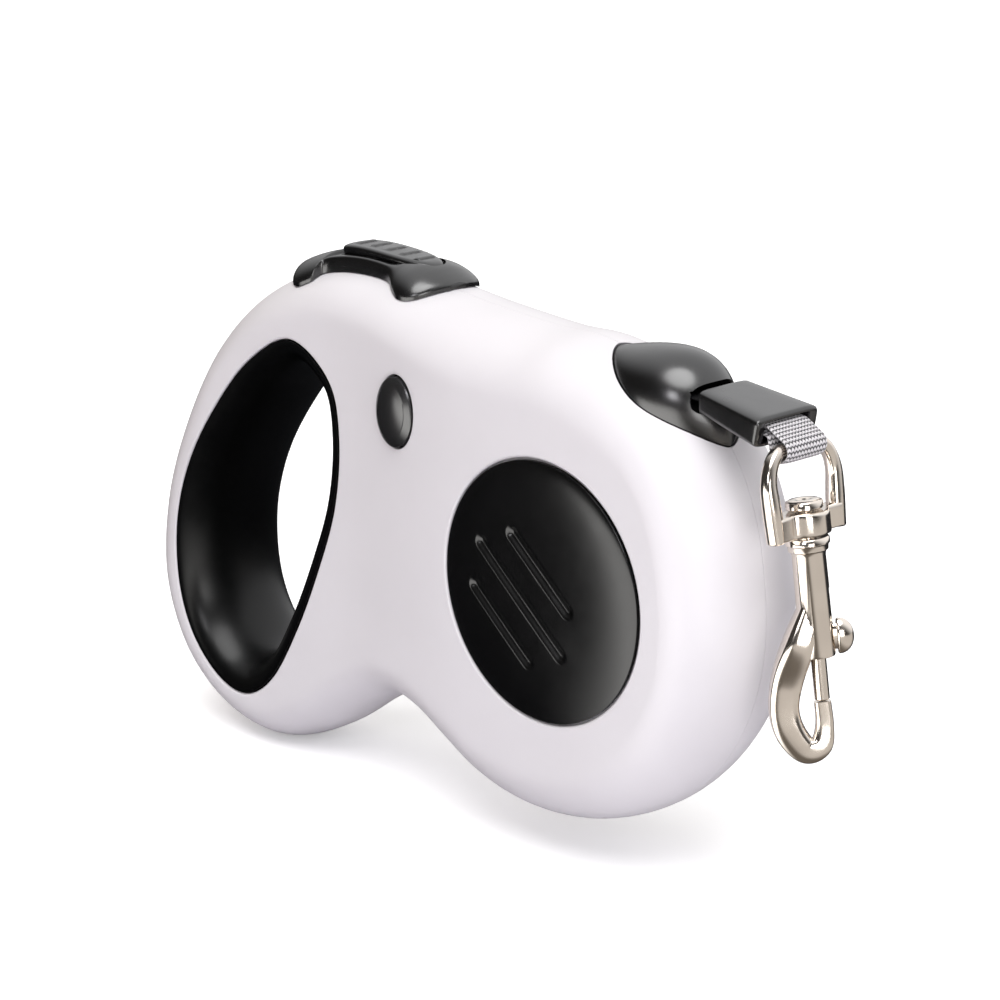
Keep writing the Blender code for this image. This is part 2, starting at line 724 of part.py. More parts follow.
def make_screws(kit):
    seat = SCREW_SEAT_Y + FIT_GAP
    profile = (
        (SCREW_SHANK_RADIUS, -SCREW_REACH_Y),
        (SCREW_SHANK_RADIUS, seat),
        (SCREW_HEAD_RADIUS, seat),
        (SCREW_HEAD_RADIUS, seat + 0.6 * SCREW_HEAD_HEIGHT),
        (0.6 * SCREW_HEAD_RADIUS, seat + SCREW_HEAD_HEIGHT),
    )
    for number, place in enumerate(SCREW_PLACES, start=1):
        kit.solid(f"case_screw_{number}", turned(profile, 12, hollow=False, centre=place), STEEL)


# Reel and tape


def spool_half():
    """Half the width of the tape channel."""
    return TAPE_WIDTH / 2 + CHANNEL_GAP


def make_reel(kit, reel):
    _, floor_in = floor_heights()
    end = floor_in - FIT_GAP
    kit.solid("reel_axle", cylinder((0, 0), AXLE_RADIUS, -end, end, 20), STEEL)
    half = spool_half()
    face = half + FLANGE_WALL
    bore = AXLE_RADIUS + FIT_GAP
    chamber = DRUM_RADIUS - DRUM_WALL
    web = -face + SPOOL_WEB
    profile = (
        (bore, -face), (FLANGE_RADIUS, -face), (FLANGE_RADIUS, -half), (DRUM_RADIUS, -half),
        (DRUM_RADIUS, half), (FLANGE_RADIUS, half), (FLANGE_RADIUS, face), (chamber, face),
        (chamber, web), (bore, web),
    )
    kit.solid("spool", turned(profile, 48, hollow=True), INNER_PLASTIC, reel, 30)
    low = face + FIT_GAP
    high = low + SPRING_COVER_WALL
    lap = DRUM_RADIUS + SPRING_COVER_LAP
    plate = ((bore, low), (lap, low), (lap, high), (bore, high))
    kit.solid("spring_cover", turned(plate, 32, hollow=True), INNER_PLASTIC, reel, 30)
    turn = np.linspace(0.0, 2 * math.pi * SPRING_TURNS, SPRING_TURNS * 12 + 1)
    inner = bore + SPRING_STRIP / 2 + 0.1
    outer = chamber - FIT_GAP - SPRING_STRIP / 2
    radius = np.linspace(inner, outer, len(turn))
    spiral = np.stack([radius * np.cos(turn), radius * np.sin(turn)], axis=1)
    points, faces = strip(spiral, SPRING_WIDTH, SPRING_STRIP)
    points = points + np.array((0.0, (web + face) / 2, 0.0))
    kit.solid("power_spring", (points, faces), STEEL, reel, 30)
    inside, outside = DRUM_RADIUS + FIT_GAP, winding_radius()
    y = TAPE_WIDTH / 2
    coil_profile = ((inside, -y), (outside, -y), (outside, y), (inside, y))
    kit.solid("tape_winding", turned(coil_profile, 48, hollow=True), WEBBING, reel, 30)


def lead_path():
    """The tape from the winding, over the guide pin, to the split in the nozzle."""
    radius = winding_radius() + FIT_GAP + TAPE_THICKNESS / 2
    bend = np.array((GUIDE_PIN_X, TAPE_EXIT_Z))
    reach = np.linalg.norm(bend)
    angle = math.degrees(math.atan2(bend[1], bend[0]) + math.acos(radius / reach))
    return np.array((polar(radius, angle), tuple(bend), (TAPE_SPLIT_X, TAPE_EXIT_Z)))


def sleeve_middle(x):
    """Height of the sleeve's centre line at x: level up to the sleeve, then drooping."""
    share = np.clip((np.asarray(x, float) - SLEEVE_REAR_X) / SLEEVE_LENGTH, 0.0, None)
    return TAPE_EXIT_Z - SLEEVE_DROP * share


def make_nozzle(kit):
    nozzle = kit.solid("nozzle", nose_form(0.0), GREY_PLASTIC, smooth_deg=50)
    lead = lead_path()
    slope = (lead[1] - lead[0]) / (lead[1, 0] - lead[0, 0])
    back = lead[1] - slope * (GUIDE_PIN_X - NOSE_REAR[0])
    high, low = SLOT_HALF_HEIGHT, -SLOT_HALF_HEIGHT
    passage = (
        (SLEEVE_REAR_X + 2, TAPE_EXIT_Z + low), (SLEEVE_REAR_X + 2, TAPE_EXIT_Z + high),
        (GUIDE_PIN_X, TAPE_EXIT_Z + high), (back[0], back[1] + high + 1.0), (back[0], back[1] + low - 3.0),
        (GUIDE_PIN_X, TAPE_EXIT_Z + low),
    )
    wide = TAPE_WIDTH / 2 + RUN_GAP
    pocket_y = SLEEVE_REAR_HALF[0] + 2 * RUN_GAP
    pocket_z = SLEEVE_REAR_HALF[1] + 2 * RUN_GAP
    mouth = oval(pocket_y, pocket_z, 24, power=5.0)
    x_from, x_to = SLEEVE_REAR_X - RUN_GAP, NOSE_FRONT[0] + NOSE_HEIGHT
    rings = [np.insert(mouth + (0.0, float(sleeve_middle(x))), 0, x, axis=1) for x in (x_from, x_to)]
    pin_z = guide_pin_height()
    reach = GUIDE_PIN_HALF + FIT_GAP
    kit.cut(
        nozzle,
        prism(passage, -wide, wide),
        loft(rings),
        cylinder((GUIDE_PIN_X, pin_z), GUIDE_PIN_RADIUS + FIT_GAP, -reach, reach, 16),
    )
    kit.solid(
        "tape_guide_pin",
        cylinder((GUIDE_PIN_X, pin_z), GUIDE_PIN_RADIUS, -GUIDE_PIN_HALF, GUIDE_PIN_HALF, 14),
        STEEL,
    )


def guide_pin_height():
    """Height of the guide pin's axis, just under the tape."""
    return TAPE_EXIT_Z - TAPE_THICKNESS / 2 - FIT_GAP - GUIDE_PIN_RADIUS


def make_tape(kit, pull):
    kit.solid("tape_lead", strip(lead_path(), TAPE_WIDTH, TAPE_THICKNESS), WEBBING)
    x = np.array((TAPE_SPLIT_X + FIT_GAP, SLEEVE_REAR_X, SLEEVE_REAR_X + SLEEVE_TAPE_INSERT))
    run = np.stack([x, sleeve_middle(x)], axis=1)
    kit.solid("tape_run", strip(run, TAPE_WIDTH, TAPE_THICKNESS), WEBBING, pull)
    sleeve_rings, bore_rings = [], []
    steps = 24
    rear_bore = TAPE_THICKNESS / 2 + RUN_GAP
    for share in (0.0, 0.06, 0.5, 0.94, 1.0):
        at = SLEEVE_REAR_X + share * SLEEVE_LENGTH
        half = [a + (b - a) * share for a, b in zip(SLEEVE_REAR_HALF, SLEEVE_FRONT_HALF)]
        trim = 0.5 if share in (0.0, 1.0) else 0.0
        y, z = oval(half[0] - trim, half[1] - trim, steps, power=5.0).T
        lean = share * SLEEVE_DROP / SLEEVE_LENGTH
        sleeve_rings.append(np.stack([at + lean * z, y, z + sleeve_middle(at)], axis=1))
    for share in (-0.05, 0.4, 1.05):
        at = SLEEVE_REAR_X + share * SLEEVE_LENGTH
        high = rear_bore + (SLEEVE_MOUTH_HALF - rear_bore) * max(share, 0.0)
        ring = oval(TAPE_WIDTH / 2 + RUN_GAP, high, steps, power=8.0)
        middle = TAPE_EXIT_Z - SLEEVE_DROP * share
        bore_rings.append(np.insert(ring + (0.0, middle), 0, at, axis=1))
    sleeve = kit.solid("tape_sleeve", loft(sleeve_rings), GREY_PLASTIC, pull)
    kit.cut(sleeve, loft(bore_rings))
    kit.solid("tape_end_loop", strip(loop_path(), TAPE_WIDTH, TAPE_THICKNESS), WEBBING, pull)


def loop_path():
    """The webbing's two plies from the sleeve's mouth around the snap's bar."""
    front_x = SLEEVE_REAR_X + SLEEVE_LENGTH
    start_x = front_x - SLEEVE_LOOP_INSERT
    bar = np.array(SNAP_BAR)
    radius = BAIL_BAR_RADIUS + FIT_GAP + 0.1 + TAPE_THICKNESS / 2
    plies = []
    for sign in (1, -1):
        inner = np.array((start_x, float(sleeve_middle(start_x)) + sign * 0.75 * PLY_SPREAD))
        outer = np.array((front_x, float(sleeve_middle(front_x)) + sign * PLY_SPREAD))
        away = outer - bar
        swing = math.acos(radius / np.linalg.norm(away))
        tangent = math.atan2(away[1], away[0]) - sign * swing
        plies.append((inner, outer, math.degrees(tangent)))
    first, last = plies
    turn = np.linspace(first[2], last[2] - 360.0, 15)
    around = [bar + np.array(polar(radius, a)) for a in turn]
    return np.array([first[0], first[1], *around, last[1], last[0]])


# Brake


def brake_arm():
    """Length of the lever's arm under the button's stem."""
    return LEVER_PIVOT[0] - STEM_X


def shoe_inner_radius():
    """Radius of the shoe's face at rest: it closes up to the running gap at full press."""
    shoe = np.array(polar(FLANGE_RADIUS, SHOE_ANGLE_DEG))
    rel = shoe - np.array(LEVER_PIVOT)
    move = np.array((-rel[1], rel[0]))
    inward = -shoe / np.linalg.norm(shoe)
    return FLANGE_RADIUS + SHOE_RUN_GAP + float(move @ inward) * BUTTON_TRAVEL / brake_arm()


def lever_underside():
    """Height of the lever bar's underside."""
    return LEVER_TOP_Z - LEVER_BAR_HEIGHT


def shelf_height():
    """Top of the shelf that carries the brake spring."""
    return lever_underside() - FIT_GAP - BRAKE_SPRING_LENGTH - FIT_GAP


def button_plan(grow):
    """The button's outline from above, with clearance: squarer at the rear than at the front."""
    half_x, half_y = BUTTON_LENGTH / 2 + grow, BUTTON_HALF_WIDTH + grow
    rear, front = (oval(half_x, half_y, 40, power=power) for power in BUTTON_END_POWERS)
    return np.where(front[:, :1] > 0.0, front, rear) + (BUTTON_MIDDLE_X, 0.0)


def button_top(x):
    """Height of the button's top, which follows the ridge and falls a little towards the front."""
    share = (x - BUTTON_MIDDLE_X) / BUTTON_LENGTH + 0.5
    rear, front = BUTTON_TOPS
    return float(ridge_height(x)) + rear + (front - rear) * share


def make_saddle(kit):
    rings = []
    spread = np.linspace(-1.0, 1.0, 7)
    for x, half, height in SADDLE_STATIONS:
        y = half * spread
        seat = ridge_height(x) + FIT_GAP - ridge_drop(x, y)
        crown = seat + SADDLE_EDGE + height * np.sqrt(1.0 - spread**4)
        bottom = np.stack([np.full(7, x), y, seat], axis=1)
        over = np.stack([np.full(7, x), y, crown], axis=1)[::-1]
        rings.append(np.concatenate([bottom, over]))
    saddle = kit.solid("brake_base", loft(rings), GREY_PLASTIC, smooth_deg=50)
    plan = button_plan(RUN_GAP)
    middle = button_top(BUTTON_MIDDLE_X)
    ends = (middle - BUTTON_LENGTH / 2, middle + BUTTON_LENGTH / 2)
    kit.cut(saddle, loft([np.insert(plan, 2, z, axis=1) for z in ends]))


def make_brake(kit, press, lever_joint):
    rings = []
    for share in np.sin(np.radians(np.linspace(-84.0, 84.0, 15))):
        x = BUTTON_MIDDLE_X + share * BUTTON_LENGTH / 2
        power = BUTTON_END_POWERS[int(share > 0)]
        half = BUTTON_HALF_WIDTH * (1.0 - abs(share) ** power) ** (1.0 / power)
        low = float(ridge_height(x)) + FIT_GAP + BUTTON_TRAVEL + BUTTON_STOP
        high = button_top(x)
        trim = min(BUTTON_EDGE, half / 2)
        edge = [(half, high - 0.8 * BUTTON_EDGE), (half - trim / 3, high - BUTTON_EDGE / 4)]
        side = [(half, low), *edge, (half - trim, high)]
        around = side + [(-y, z) for y, z in side[::-1]]
        rings.append([(x, y, z) for y, z in around])
    button = kit.solid("brake_button", loft(rings), GREY_PLASTIC, press)
    half_x, half_y = (size / 2 for size in STEM_SIZE)
    stem_low = LEVER_TOP_Z + FIT_GAP
    stem_high = button_top(STEM_X) - BUTTON_EDGE
    kit.join(button, box((STEM_X - half_x, -half_y, stem_low), (STEM_X + half_x, half_y, stem_high)))
    rib_x, rib_y, rib_z = RIB_SIZE
    for number in range(BUTTON_RIBS):
        x = BUTTON_MIDDLE_X + (number - (BUTTON_RIBS - 1) / 2) * RIB_PITCH
        high = button_top(x)
        rib = box((x - rib_x / 2, -rib_y / 2, high - rib_z), (x + rib_x / 2, rib_y / 2, high + rib_z))
        kit.join(button, rib)
    inner = shoe_inner_radius()
    outer = inner + SHOE_THICKNESS
    span = np.linspace(SHOE_ANGLE_DEG + SHOE_HALF_SPAN_DEG, SHOE_ANGLE_DEG - SHOE_HALF_SPAN_DEG, 5)
    face = spool_half() + FLANGE_WALL
    shoe = [polar(inner, a) for a in span] + [polar(outer, a) for a in span[::-1]]
    kit.solid("brake_shoe", prism(shoe, -face, face), BLACK_RUBBER, lever_joint)
    foot_in, foot_out = outer + FIT_GAP, outer + FIT_GAP + SHOE_FOOT
    under = lever_underside()
    eye = [
        (LEVER_PIVOT[0] + dx, LEVER_PIVOT[1] + dz)
        for dx, dz in (polar(LEVER_EYE_RADIUS, a) for a in np.linspace(-140.0, 90.0, 9))
    ]
    outline = [(LEVER_TAIL_X, under), (LEVER_HEEL_X, under), polar(foot_out, span[0])]
    outline += [polar(foot_in, a) for a in span]
    outline += [polar(foot_out, span[-1])]
    outline += eye
    outline += [(LEVER_NECK_X, LEVER_TOP_Z), (LEVER_TAIL_X, LEVER_TOP_Z)]
    lever = kit.solid(
        "brake_lever", prism(outline, -LEVER_HALF_WIDTH, LEVER_HALF_WIDTH), INNER_PLASTIC, lever_joint
    )
    kit.cut(lever, cylinder(LEVER_PIVOT, LEVER_PIN_RADIUS + FIT_GAP, -9, 9, 16))
    pin_boss = LEVER_PIN_RADIUS + FIT_GAP + BOSS_WALL
    pin_half = boss_end(*LEVER_PIVOT, pin_boss) - BOSS_WALL - FIT_GAP
    kit.solid("brake_lever_pin", cylinder(LEVER_PIVOT, LEVER_PIN_RADIUS, -pin_half, pin_half, 14), STEEL)
    shelf = shelf_height()
    start = (BRAKE_SPRING_X, 0.0, shelf + FIT_GAP)
    end = (BRAKE_SPRING_X, 0.0, shelf + FIT_GAP + BRAKE_SPRING_LENGTH)
    kit.solid("brake_spring", coil(start, end, BRAKE_SPRING_RADIUS, 0.45, 5), STEEL)


def make_lock(kit, lock):
    x, z = LOCK_CENTRE
    half_x, half_z = LOCK_HALF
    face = float(half_thickness(x))
    lip = LOCK_FLANGE_LIP
    flange_top = float(half_thickness(x - half_x - lip)) - WALL - RUN_GAP
    flange_low = flange_top - LOCK_FLANGE_WALL
    levels = (
        (flange_low, lip), (flange_top, lip), (flange_top, 0.0), (face + 0.4 * LOCK_RISE, 0.0),
        (face + 0.8 * LOCK_RISE, -1.0), (face + LOCK_RISE, -2.8),
    )
    rings = []
    for y, grow in levels:
        rings.append(np.insert(oval(half_x + grow, half_z + grow, 28) + LOCK_CENTRE, 1, -y, axis=1))
    kit.solid("lock_button", loft(rings), GREY_PLASTIC, lock)
    start = (x, -LOCK_POST_END_Y - FIT_GAP, z)
    end = (x, -flange_low + FIT_GAP, z)
    kit.solid("lock_spring", coil(start, end, LOCK_SPRING_RADIUS, 0.45, 4), STEEL)


# Bolt snap


class SnapFrame:
    """Turns the snap's own coordinates into those of the reel."""

    def __init__(self):
        tilt = math.radians(SNAP_TILT_DEG)
        turn = math.radians(HOOK_TURN_DEG)
        self.bar = np.array((SNAP_BAR[0], 0.0, SNAP_BAR[1]))
        self.ahead = np.array((math.cos(tilt), 0.0, math.sin(tilt)))
        self.left = np.array((0.0, 1.0, 0.0))
        self.up = np.array((-math.sin(tilt), 0.0, math.cos(tilt)))
        self.reach = math.cos(turn) * self.ahead + math.sin(turn) * self.left
        self.depth = np.cross(self.up, self.reach)

    def bail(self, shape):
        """Points given as ahead, left and up of the bar."""
        points, faces = shape
        points = np.asarray(points)
        return self.bar + points @ np.stack([self.ahead, self.left, self.up]), faces

    def hook(self, shape):
        """Points given as reach, depth and up, in the hook's turned plane."""
        points, faces = shape
        points = np.asarray(points)
        return self.bar + points @ np.stack([self.reach, self.depth, self.up]), faces


def upright(profile, steps):
    """A profile of radius and height turned about the up direction."""
    rings = []
    for r, height in profile:
        rings.append(np.insert(circle(r, steps), 2, height, axis=1))
    return loft(rings)


def make_snap(kit, frame, swing, swivel, bolt_joint):
    side = BAIL_HALF_WIDTH
    wide, tall = BAIL_CORNER
    corner = [polar(1.0, a) for a in np.linspace(0.0, 90.0, 5)]
    right = [(0.0, side - wide + wide * c, -tall + tall * s) for c, s in corner]
    path = [(0.0, side - BAIL_LEG_LEAN, -BAIL_LEG), *right]
    path += [(0.0, -y, z) for _, y, z in path[::-1]]
    swell = [min(-z / CROSS_TOP, 1.0) for _, _, z in path]
    bar = [circle(BAIL_BAR_RADIUS + (BAIL_LEG_RADIUS - BAIL_BAR_RADIUS) * share, 12) for share in swell]
    bail = swept(path, bar)
    eye = kit.solid("swivel_eye", frame.bail(bail), NICKEL, swing)
    low, high = -CROSS_TOP - CROSS_HEIGHT, -CROSS_TOP
    half = CROSS_THICKNESS / 2
    kit.join(
        eye,
        frame.bail(box((-half, BAIL_LEG_LEAN - side, low), (half, side - BAIL_LEG_LEAN, high - 0.3))),
        frame.bail(upright(((CROSS_BOSS_RADIUS, low - 0.2), (CROSS_BOSS_RADIUS, high)), 20)),
    )
    hole = STEM_RADIUS + FIT_GAP
    kit.cut(eye, frame.bail(upright(((hole, low - 3), (hole, high + 3)), 16)))

    collar_top = low - 0.2 - FIT_GAP
    collar_low = collar_top - COLLAR_HEIGHT
    head_low = high + FIT_GAP
    profile = (
        (BARREL_RADIUS, -BARREL_END),
        (BARREL_RADIUS, collar_low),
        (COLLAR_RADIUS, collar_low),
        (COLLAR_RADIUS, collar_top),
        (STEM_RADIUS, collar_top),
        (STEM_RADIUS, head_low),
        (RIVET_RADIUS, head_low),
        (RIVET_RADIUS, head_low + 0.7 * RIVET_HEIGHT),
        (0.75 * RIVET_RADIUS, head_low + RIVET_HEIGHT),
    )
    body = kit.solid("hook_body", frame.hook(upright(profile, 20)), NICKEL, swivel, 35)
    tip = -BOLT_END - FIT_GAP
    bend = [(reach, -BOLT_END + rise, radius) for reach, rise, radius in HOOK_POINTS]
    points = np.array((*bend, (0.0, tip, HOOK_TIP_RADIUS)))
    fine = catmull_rom(points, 3, closed=False)
    path = np.stack([fine[:, 0], np.zeros(len(fine)), fine[:, 1]], axis=1)
    bar = [oval(r, r * HOOK_DEPTH_SHARE, 12, power=2.4) for r in fine[:, 2]]
    kit.join(body, frame.hook(swept(path, bar)))
    bore = BOLT_RADIUS + FIT_GAP
    bore_top = -BOLT_TOP + BOLT_TRAVEL + 1.6
    slot = NECK_HALF + FIT_GAP
    slot_top = -BOLT_TOP + BOLT_TRAVEL + 2 * FIT_GAP
    kit.cut(
        body,
        frame.hook(upright(((bore, -BARREL_END - 3), (bore, bore_top)), 16)),
        frame.hook(box((0.0, -slot, -BARREL_END - 3), (2 * BARREL_RADIUS, slot, slot_top))),
    )
    bolt = kit.solid(
        "hook_bolt",
        frame.hook(upright(((BOLT_RADIUS, -BOLT_END), (BOLT_RADIUS, -BOLT_TOP)), 14)),
        NICKEL,
        bolt_joint,
    )
    middle = -BOLT_TOP - KNOB_HEIGHT / 2
    base = BARREL_RADIUS + RUN_GAP
    knob = []
    for share, size in ((0.0, 0.9), (0.12, 1.0), (0.5, 0.9), (0.8, 0.65), (1.0, 0.3)):
        ring = oval(KNOB_HALF * size, KNOB_HEIGHT / 2 * size, 16) + (0.0, middle)
        knob.append(np.insert(ring, 0, base + (KNOB_REACH - base) * share, axis=1))
    neck = KNOB_HEIGHT / 2 - 1.0
    kit.join(
        bolt,
        frame.hook(box((0.2, -NECK_HALF, middle - neck), (base + 0.4, NECK_HALF, middle + neck))),
        frame.hook(loft(knob)),
    )
    start, end = (0.0, 0.0, -BOLT_TOP + FIT_GAP), (0.0, 0.0, bore_top - FIT_GAP)
    kit.solid("hook_bolt_spring", frame.hook(coil(start, end, 1.1, 0.28, 5)), STEEL, swivel)


def main():
    for old in list(bpy.data.objects):
        bpy.data.objects.remove(old)
    kit = Assembly()
    frame = SnapFrame()
    reel = kit.empty("reel_joint", (0.0, 0.0, 0.0), kit.root)
    pull = kit.empty("pull_joint", (SLEEVE_REAR_X, 0.0, TAPE_EXIT_Z), kit.root)
    swing = kit.empty("swing_joint", frame.bar, pull)
    swivel = kit.empty("swivel_joint", frame.bar - frame.up * CROSS_TOP, swing)
    bolt = kit.empty("bolt_joint", frame.bar - frame.up * BOLT_END, swivel)
    press = kit.empty("press_joint", (STEM_X, 0.0, LEVER_TOP_Z), kit.root)
    lever = kit.empty("lever_joint", (LEVER_PIVOT[0], 0.0, LEVER_PIVOT[1]), kit.root)
    lock = kit.empty("lock_joint", (LOCK_CENTRE[0], -HALF_REEL, LOCK_CENTRE[1]), kit.root)
    make_shells(kit)
    make_liner(kit)
    make_covers(kit)
    make_screws(kit)
    make_reel(kit, reel)
    make_nozzle(kit)
    make_tape(kit, pull)
    make_saddle(kit)
    make_brake(kit, press, lever)
    make_lock(kit, lock)
    make_snap(kit, frame, swing, swivel, bolt)


if __name__ == "__main__":
    main()
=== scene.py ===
"""The looks of a retractable leash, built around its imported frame.

Lengths are millimetres seen from the reel's axle: x runs ahead to the tape's exit, y to the left and z up.
"""

import logging
import math
from dataclasses import dataclass, field
from enum import Enum

import bmesh
import bpy
import numpy as np
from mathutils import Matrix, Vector


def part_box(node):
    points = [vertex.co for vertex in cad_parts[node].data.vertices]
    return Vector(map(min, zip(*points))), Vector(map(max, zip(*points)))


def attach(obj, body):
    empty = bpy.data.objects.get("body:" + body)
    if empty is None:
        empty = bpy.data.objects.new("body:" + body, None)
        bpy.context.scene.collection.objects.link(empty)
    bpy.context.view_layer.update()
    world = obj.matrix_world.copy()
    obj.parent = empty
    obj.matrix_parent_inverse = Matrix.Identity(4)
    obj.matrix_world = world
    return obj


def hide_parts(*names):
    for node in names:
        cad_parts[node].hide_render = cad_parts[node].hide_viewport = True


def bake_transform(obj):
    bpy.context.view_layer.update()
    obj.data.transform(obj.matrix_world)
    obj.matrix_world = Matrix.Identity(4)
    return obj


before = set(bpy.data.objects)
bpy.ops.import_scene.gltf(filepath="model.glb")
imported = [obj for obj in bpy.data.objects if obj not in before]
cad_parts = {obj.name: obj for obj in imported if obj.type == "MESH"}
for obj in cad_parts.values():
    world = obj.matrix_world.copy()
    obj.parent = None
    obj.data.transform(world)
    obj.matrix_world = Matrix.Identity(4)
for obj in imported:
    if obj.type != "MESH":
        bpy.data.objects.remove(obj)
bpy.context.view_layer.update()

Array = np.ndarray
Pair = tuple[float, float]
Triple = tuple[float, float, float]
Colour = Triple

MM = 0.001
FIT_GAP = 0.3
RUN_GAP = 0.45

log = logging.getLogger("leash")


class Body(Enum):
    """The moving bodies that pieces ride on."""

    CASE = "case"
    TAPE_END = "tape_end"
    EYE = "eye"
    HOOK = "hook"
    BOLT = "bolt"
    LEVER = "lever"
    BRAKE_PAD = "brake_pad"
    SIDE_BUTTON = "side_button"


Hold = tuple[Body, Array]


class Cut(Enum):
    """How a second closed form changes a first one."""

    JOIN = "UNION"
    REMOVE = "DIFFERENCE"


class Side(Enum):
    """The two sides of the case, with the sign of their y."""

    RIGHT = -1.0
    LEFT = 1.0


# Curves and arrays


def smoothstep(value: Array, low: float, high: float) -> Array:
    """A smooth cubic that is 0 up to low and 1 from high on.

    Args:
        value: The numbers to map.
        low: Where the rise starts.
        high: Where the rise ends.

    Returns:
        Shares from 0 to 1.
    """
    share = np.clip((np.asarray(value, float) - low) / (high - low), 0.0, 1.0)
    return share * share * (3.0 - 2.0 * share)


def polar(radius: Array, degrees: Array) -> Array:
    """Points of x and z at a radius and an angle from ahead.

    Args:
        radius: Distance from the origin.
        degrees: Angle from x towards z.

    Returns:
        The points, with x and z along the last axis.
    """
    angle = np.radians(degrees)
    return np.stack([radius * np.cos(angle), radius * np.sin(angle)], axis=-1)


def catmull_rom(points: Array, steps: int, closed: bool) -> Array:
    """A smooth curve through points: each span is the cubic whose ends lean along the chords beside it.

    Args:
        points: The points to pass through.
        steps: Steps in each span.
        closed: Whether the curve comes back to its start.

    Returns:
        The curve's points.
    """
    points = np.asarray(points, float)
    if closed:
        around = np.concatenate([points[-1:], points, points[:2]])
    else:
        around = np.concatenate([2 * points[:1] - points[1:2], points, 2 * points[-1:] - points[-2:-1]])
    a, b, c, d = (around[i : len(around) - 3 + i, None] for i in range(4))
    t = np.linspace(0.0, 1.0, steps, endpoint=False)[None, :, None]
    bend = (2 * a - 5 * b + 4 * c - d) * t**2 + (3 * b - a - 3 * c + d) * t**3
    curve = (b + 0.5 * ((c - a) * t + bend)).reshape(-1, points.shape[1])
    return curve if closed else np.concatenate([curve, points[-1:]])


def resampled(points: Array, count: int, closed: bool) -> Array:
    """A polyline with its points spread evenly along its length.

    Args:
        points: The polyline.
        count: How many points to give back.
        closed: Whether the last point joins the first.

    Returns:
        The evenly spread points.
    """
    line = np.concatenate([points, points[:1]]) if closed else points
    run = run_along(line)
    at = np.linspace(0.0, run[-1], count, endpoint=not closed)
    return np.stack([np.interp(at, run, column) for column in line.T], axis=1)


def eased(loop: Array, reach: float) -> Array:
    """A closed, evenly spaced loop averaged with a bell-shaped weight along its length.

    Args:
        loop: The loop's points.
        reach: Spread of the weight, in millimetres.

    Returns:
        The eased loop.
    """
    step = np.linalg.norm(loop[1] - loop[0])
    waves = np.fft.rfftfreq(len(loop))
    weight = np.exp(-2.0 * (math.pi * waves * reach / step) ** 2)
    return np.fft.irfft(np.fft.rfft(loop, axis=0) * weight[:, None], len(loop), axis=0)


def inward_normals(loop: Array) -> Array:
    """Unit normals of a closed loop: a quarter turn from the chord beside each point, to the inside.

    Args:
        loop: The loop's points, as x and z.

    Returns:
        One normal for each point.
    """
    along = np.roll(loop, -1, axis=0) - np.roll(loop, 1, axis=0)
    normal = np.stack([-along[:, 1], along[:, 0]], axis=1)
    normal /= np.linalg.norm(normal, axis=1)[:, None]
    x, z = loop.T
    area = np.sum(x * np.roll(z, -1) - z * np.roll(x, -1))
    return normal if area > 0 else -normal


def side_normals(path: Array) -> Array:
    """Unit normals of an open path, each a quarter turn from the way that the path runs there.

    Args:
        path: Points of two coordinates.

    Returns:
        One normal for each point.
    """
    along = np.gradient(path, axis=0)
    normal = np.stack([-along[:, 1], along[:, 0]], axis=1)
    return normal / np.linalg.norm(normal, axis=1)[:, None]


def run_along(path: Array) -> Array:
    """Length of a polyline from its start to each of its points."""
    return np.concatenate([[0.0], np.cumsum(np.linalg.norm(np.diff(path, axis=0), axis=1))])


def raised(plan: Array, height: Array) -> Array:
    """Points in space from x and z in the side view and y across it."""
    return np.stack([plan[..., 0], np.broadcast_to(height, plan.shape[:-1]), plan[..., 1]], axis=-1)


def loop_at(values: Array, place: Array) -> Array:
    """Values of a closed loop at places between its points, by straight interpolation.

    Args:
        values: One row for each point of the loop.
        place: Point numbers, which may lie between two points.

    Returns:
        One row for each place.
    """
    ring = np.concatenate([values, values[:1]])
    number = np.arange(len(ring))
    return np.stack([np.interp(place, number, column) for column in ring.T], axis=1)


def oval(half_a: Array, half_b: Array, steps: int, power: float = 2.0) -> Array:
    """A superellipse about the origin, whose corners square up as the power grows.

    Args:
        half_a: Half size along the first axis, one for each ring or one number.
        half_b: Half size along the second axis, likewise.
        steps: Points around.
        power: 2 gives an ellipse, and more gives a rounded rectangle.

    Returns:
        Points with the two axes last.
    """
    turn = np.linspace(0.0, 2 * math.pi, steps, endpoint=False)
    c, s = np.cos(turn), np.sin(turn)
    a = np.sign(c) * np.abs(c) ** (2.0 / power)
    b = np.sign(s) * np.abs(s) ** (2.0 / power)
    return np.stack([np.multiply.outer(half_a, a), np.multiply.outer(half_b, b)], axis=-1)


def swung(points: Array, degrees: float) -> Array:
    """Points of x and z turned about the origin, from x towards z."""
    c, s = math.cos(math.radians(degrees)), math.sin(math.radians(degrees))
    return points @ np.array(((c, s), (-s, c)))


def quarter(steps: int) -> tuple[Array, Array]:
    """One less the cosine, and the sine, of angles from 0 to a right angle."""
    turn = np.linspace(0.0, math.pi / 2, steps)
    return 1.0 - np.cos(turn), np.sin(turn)


# Surfaces and objects


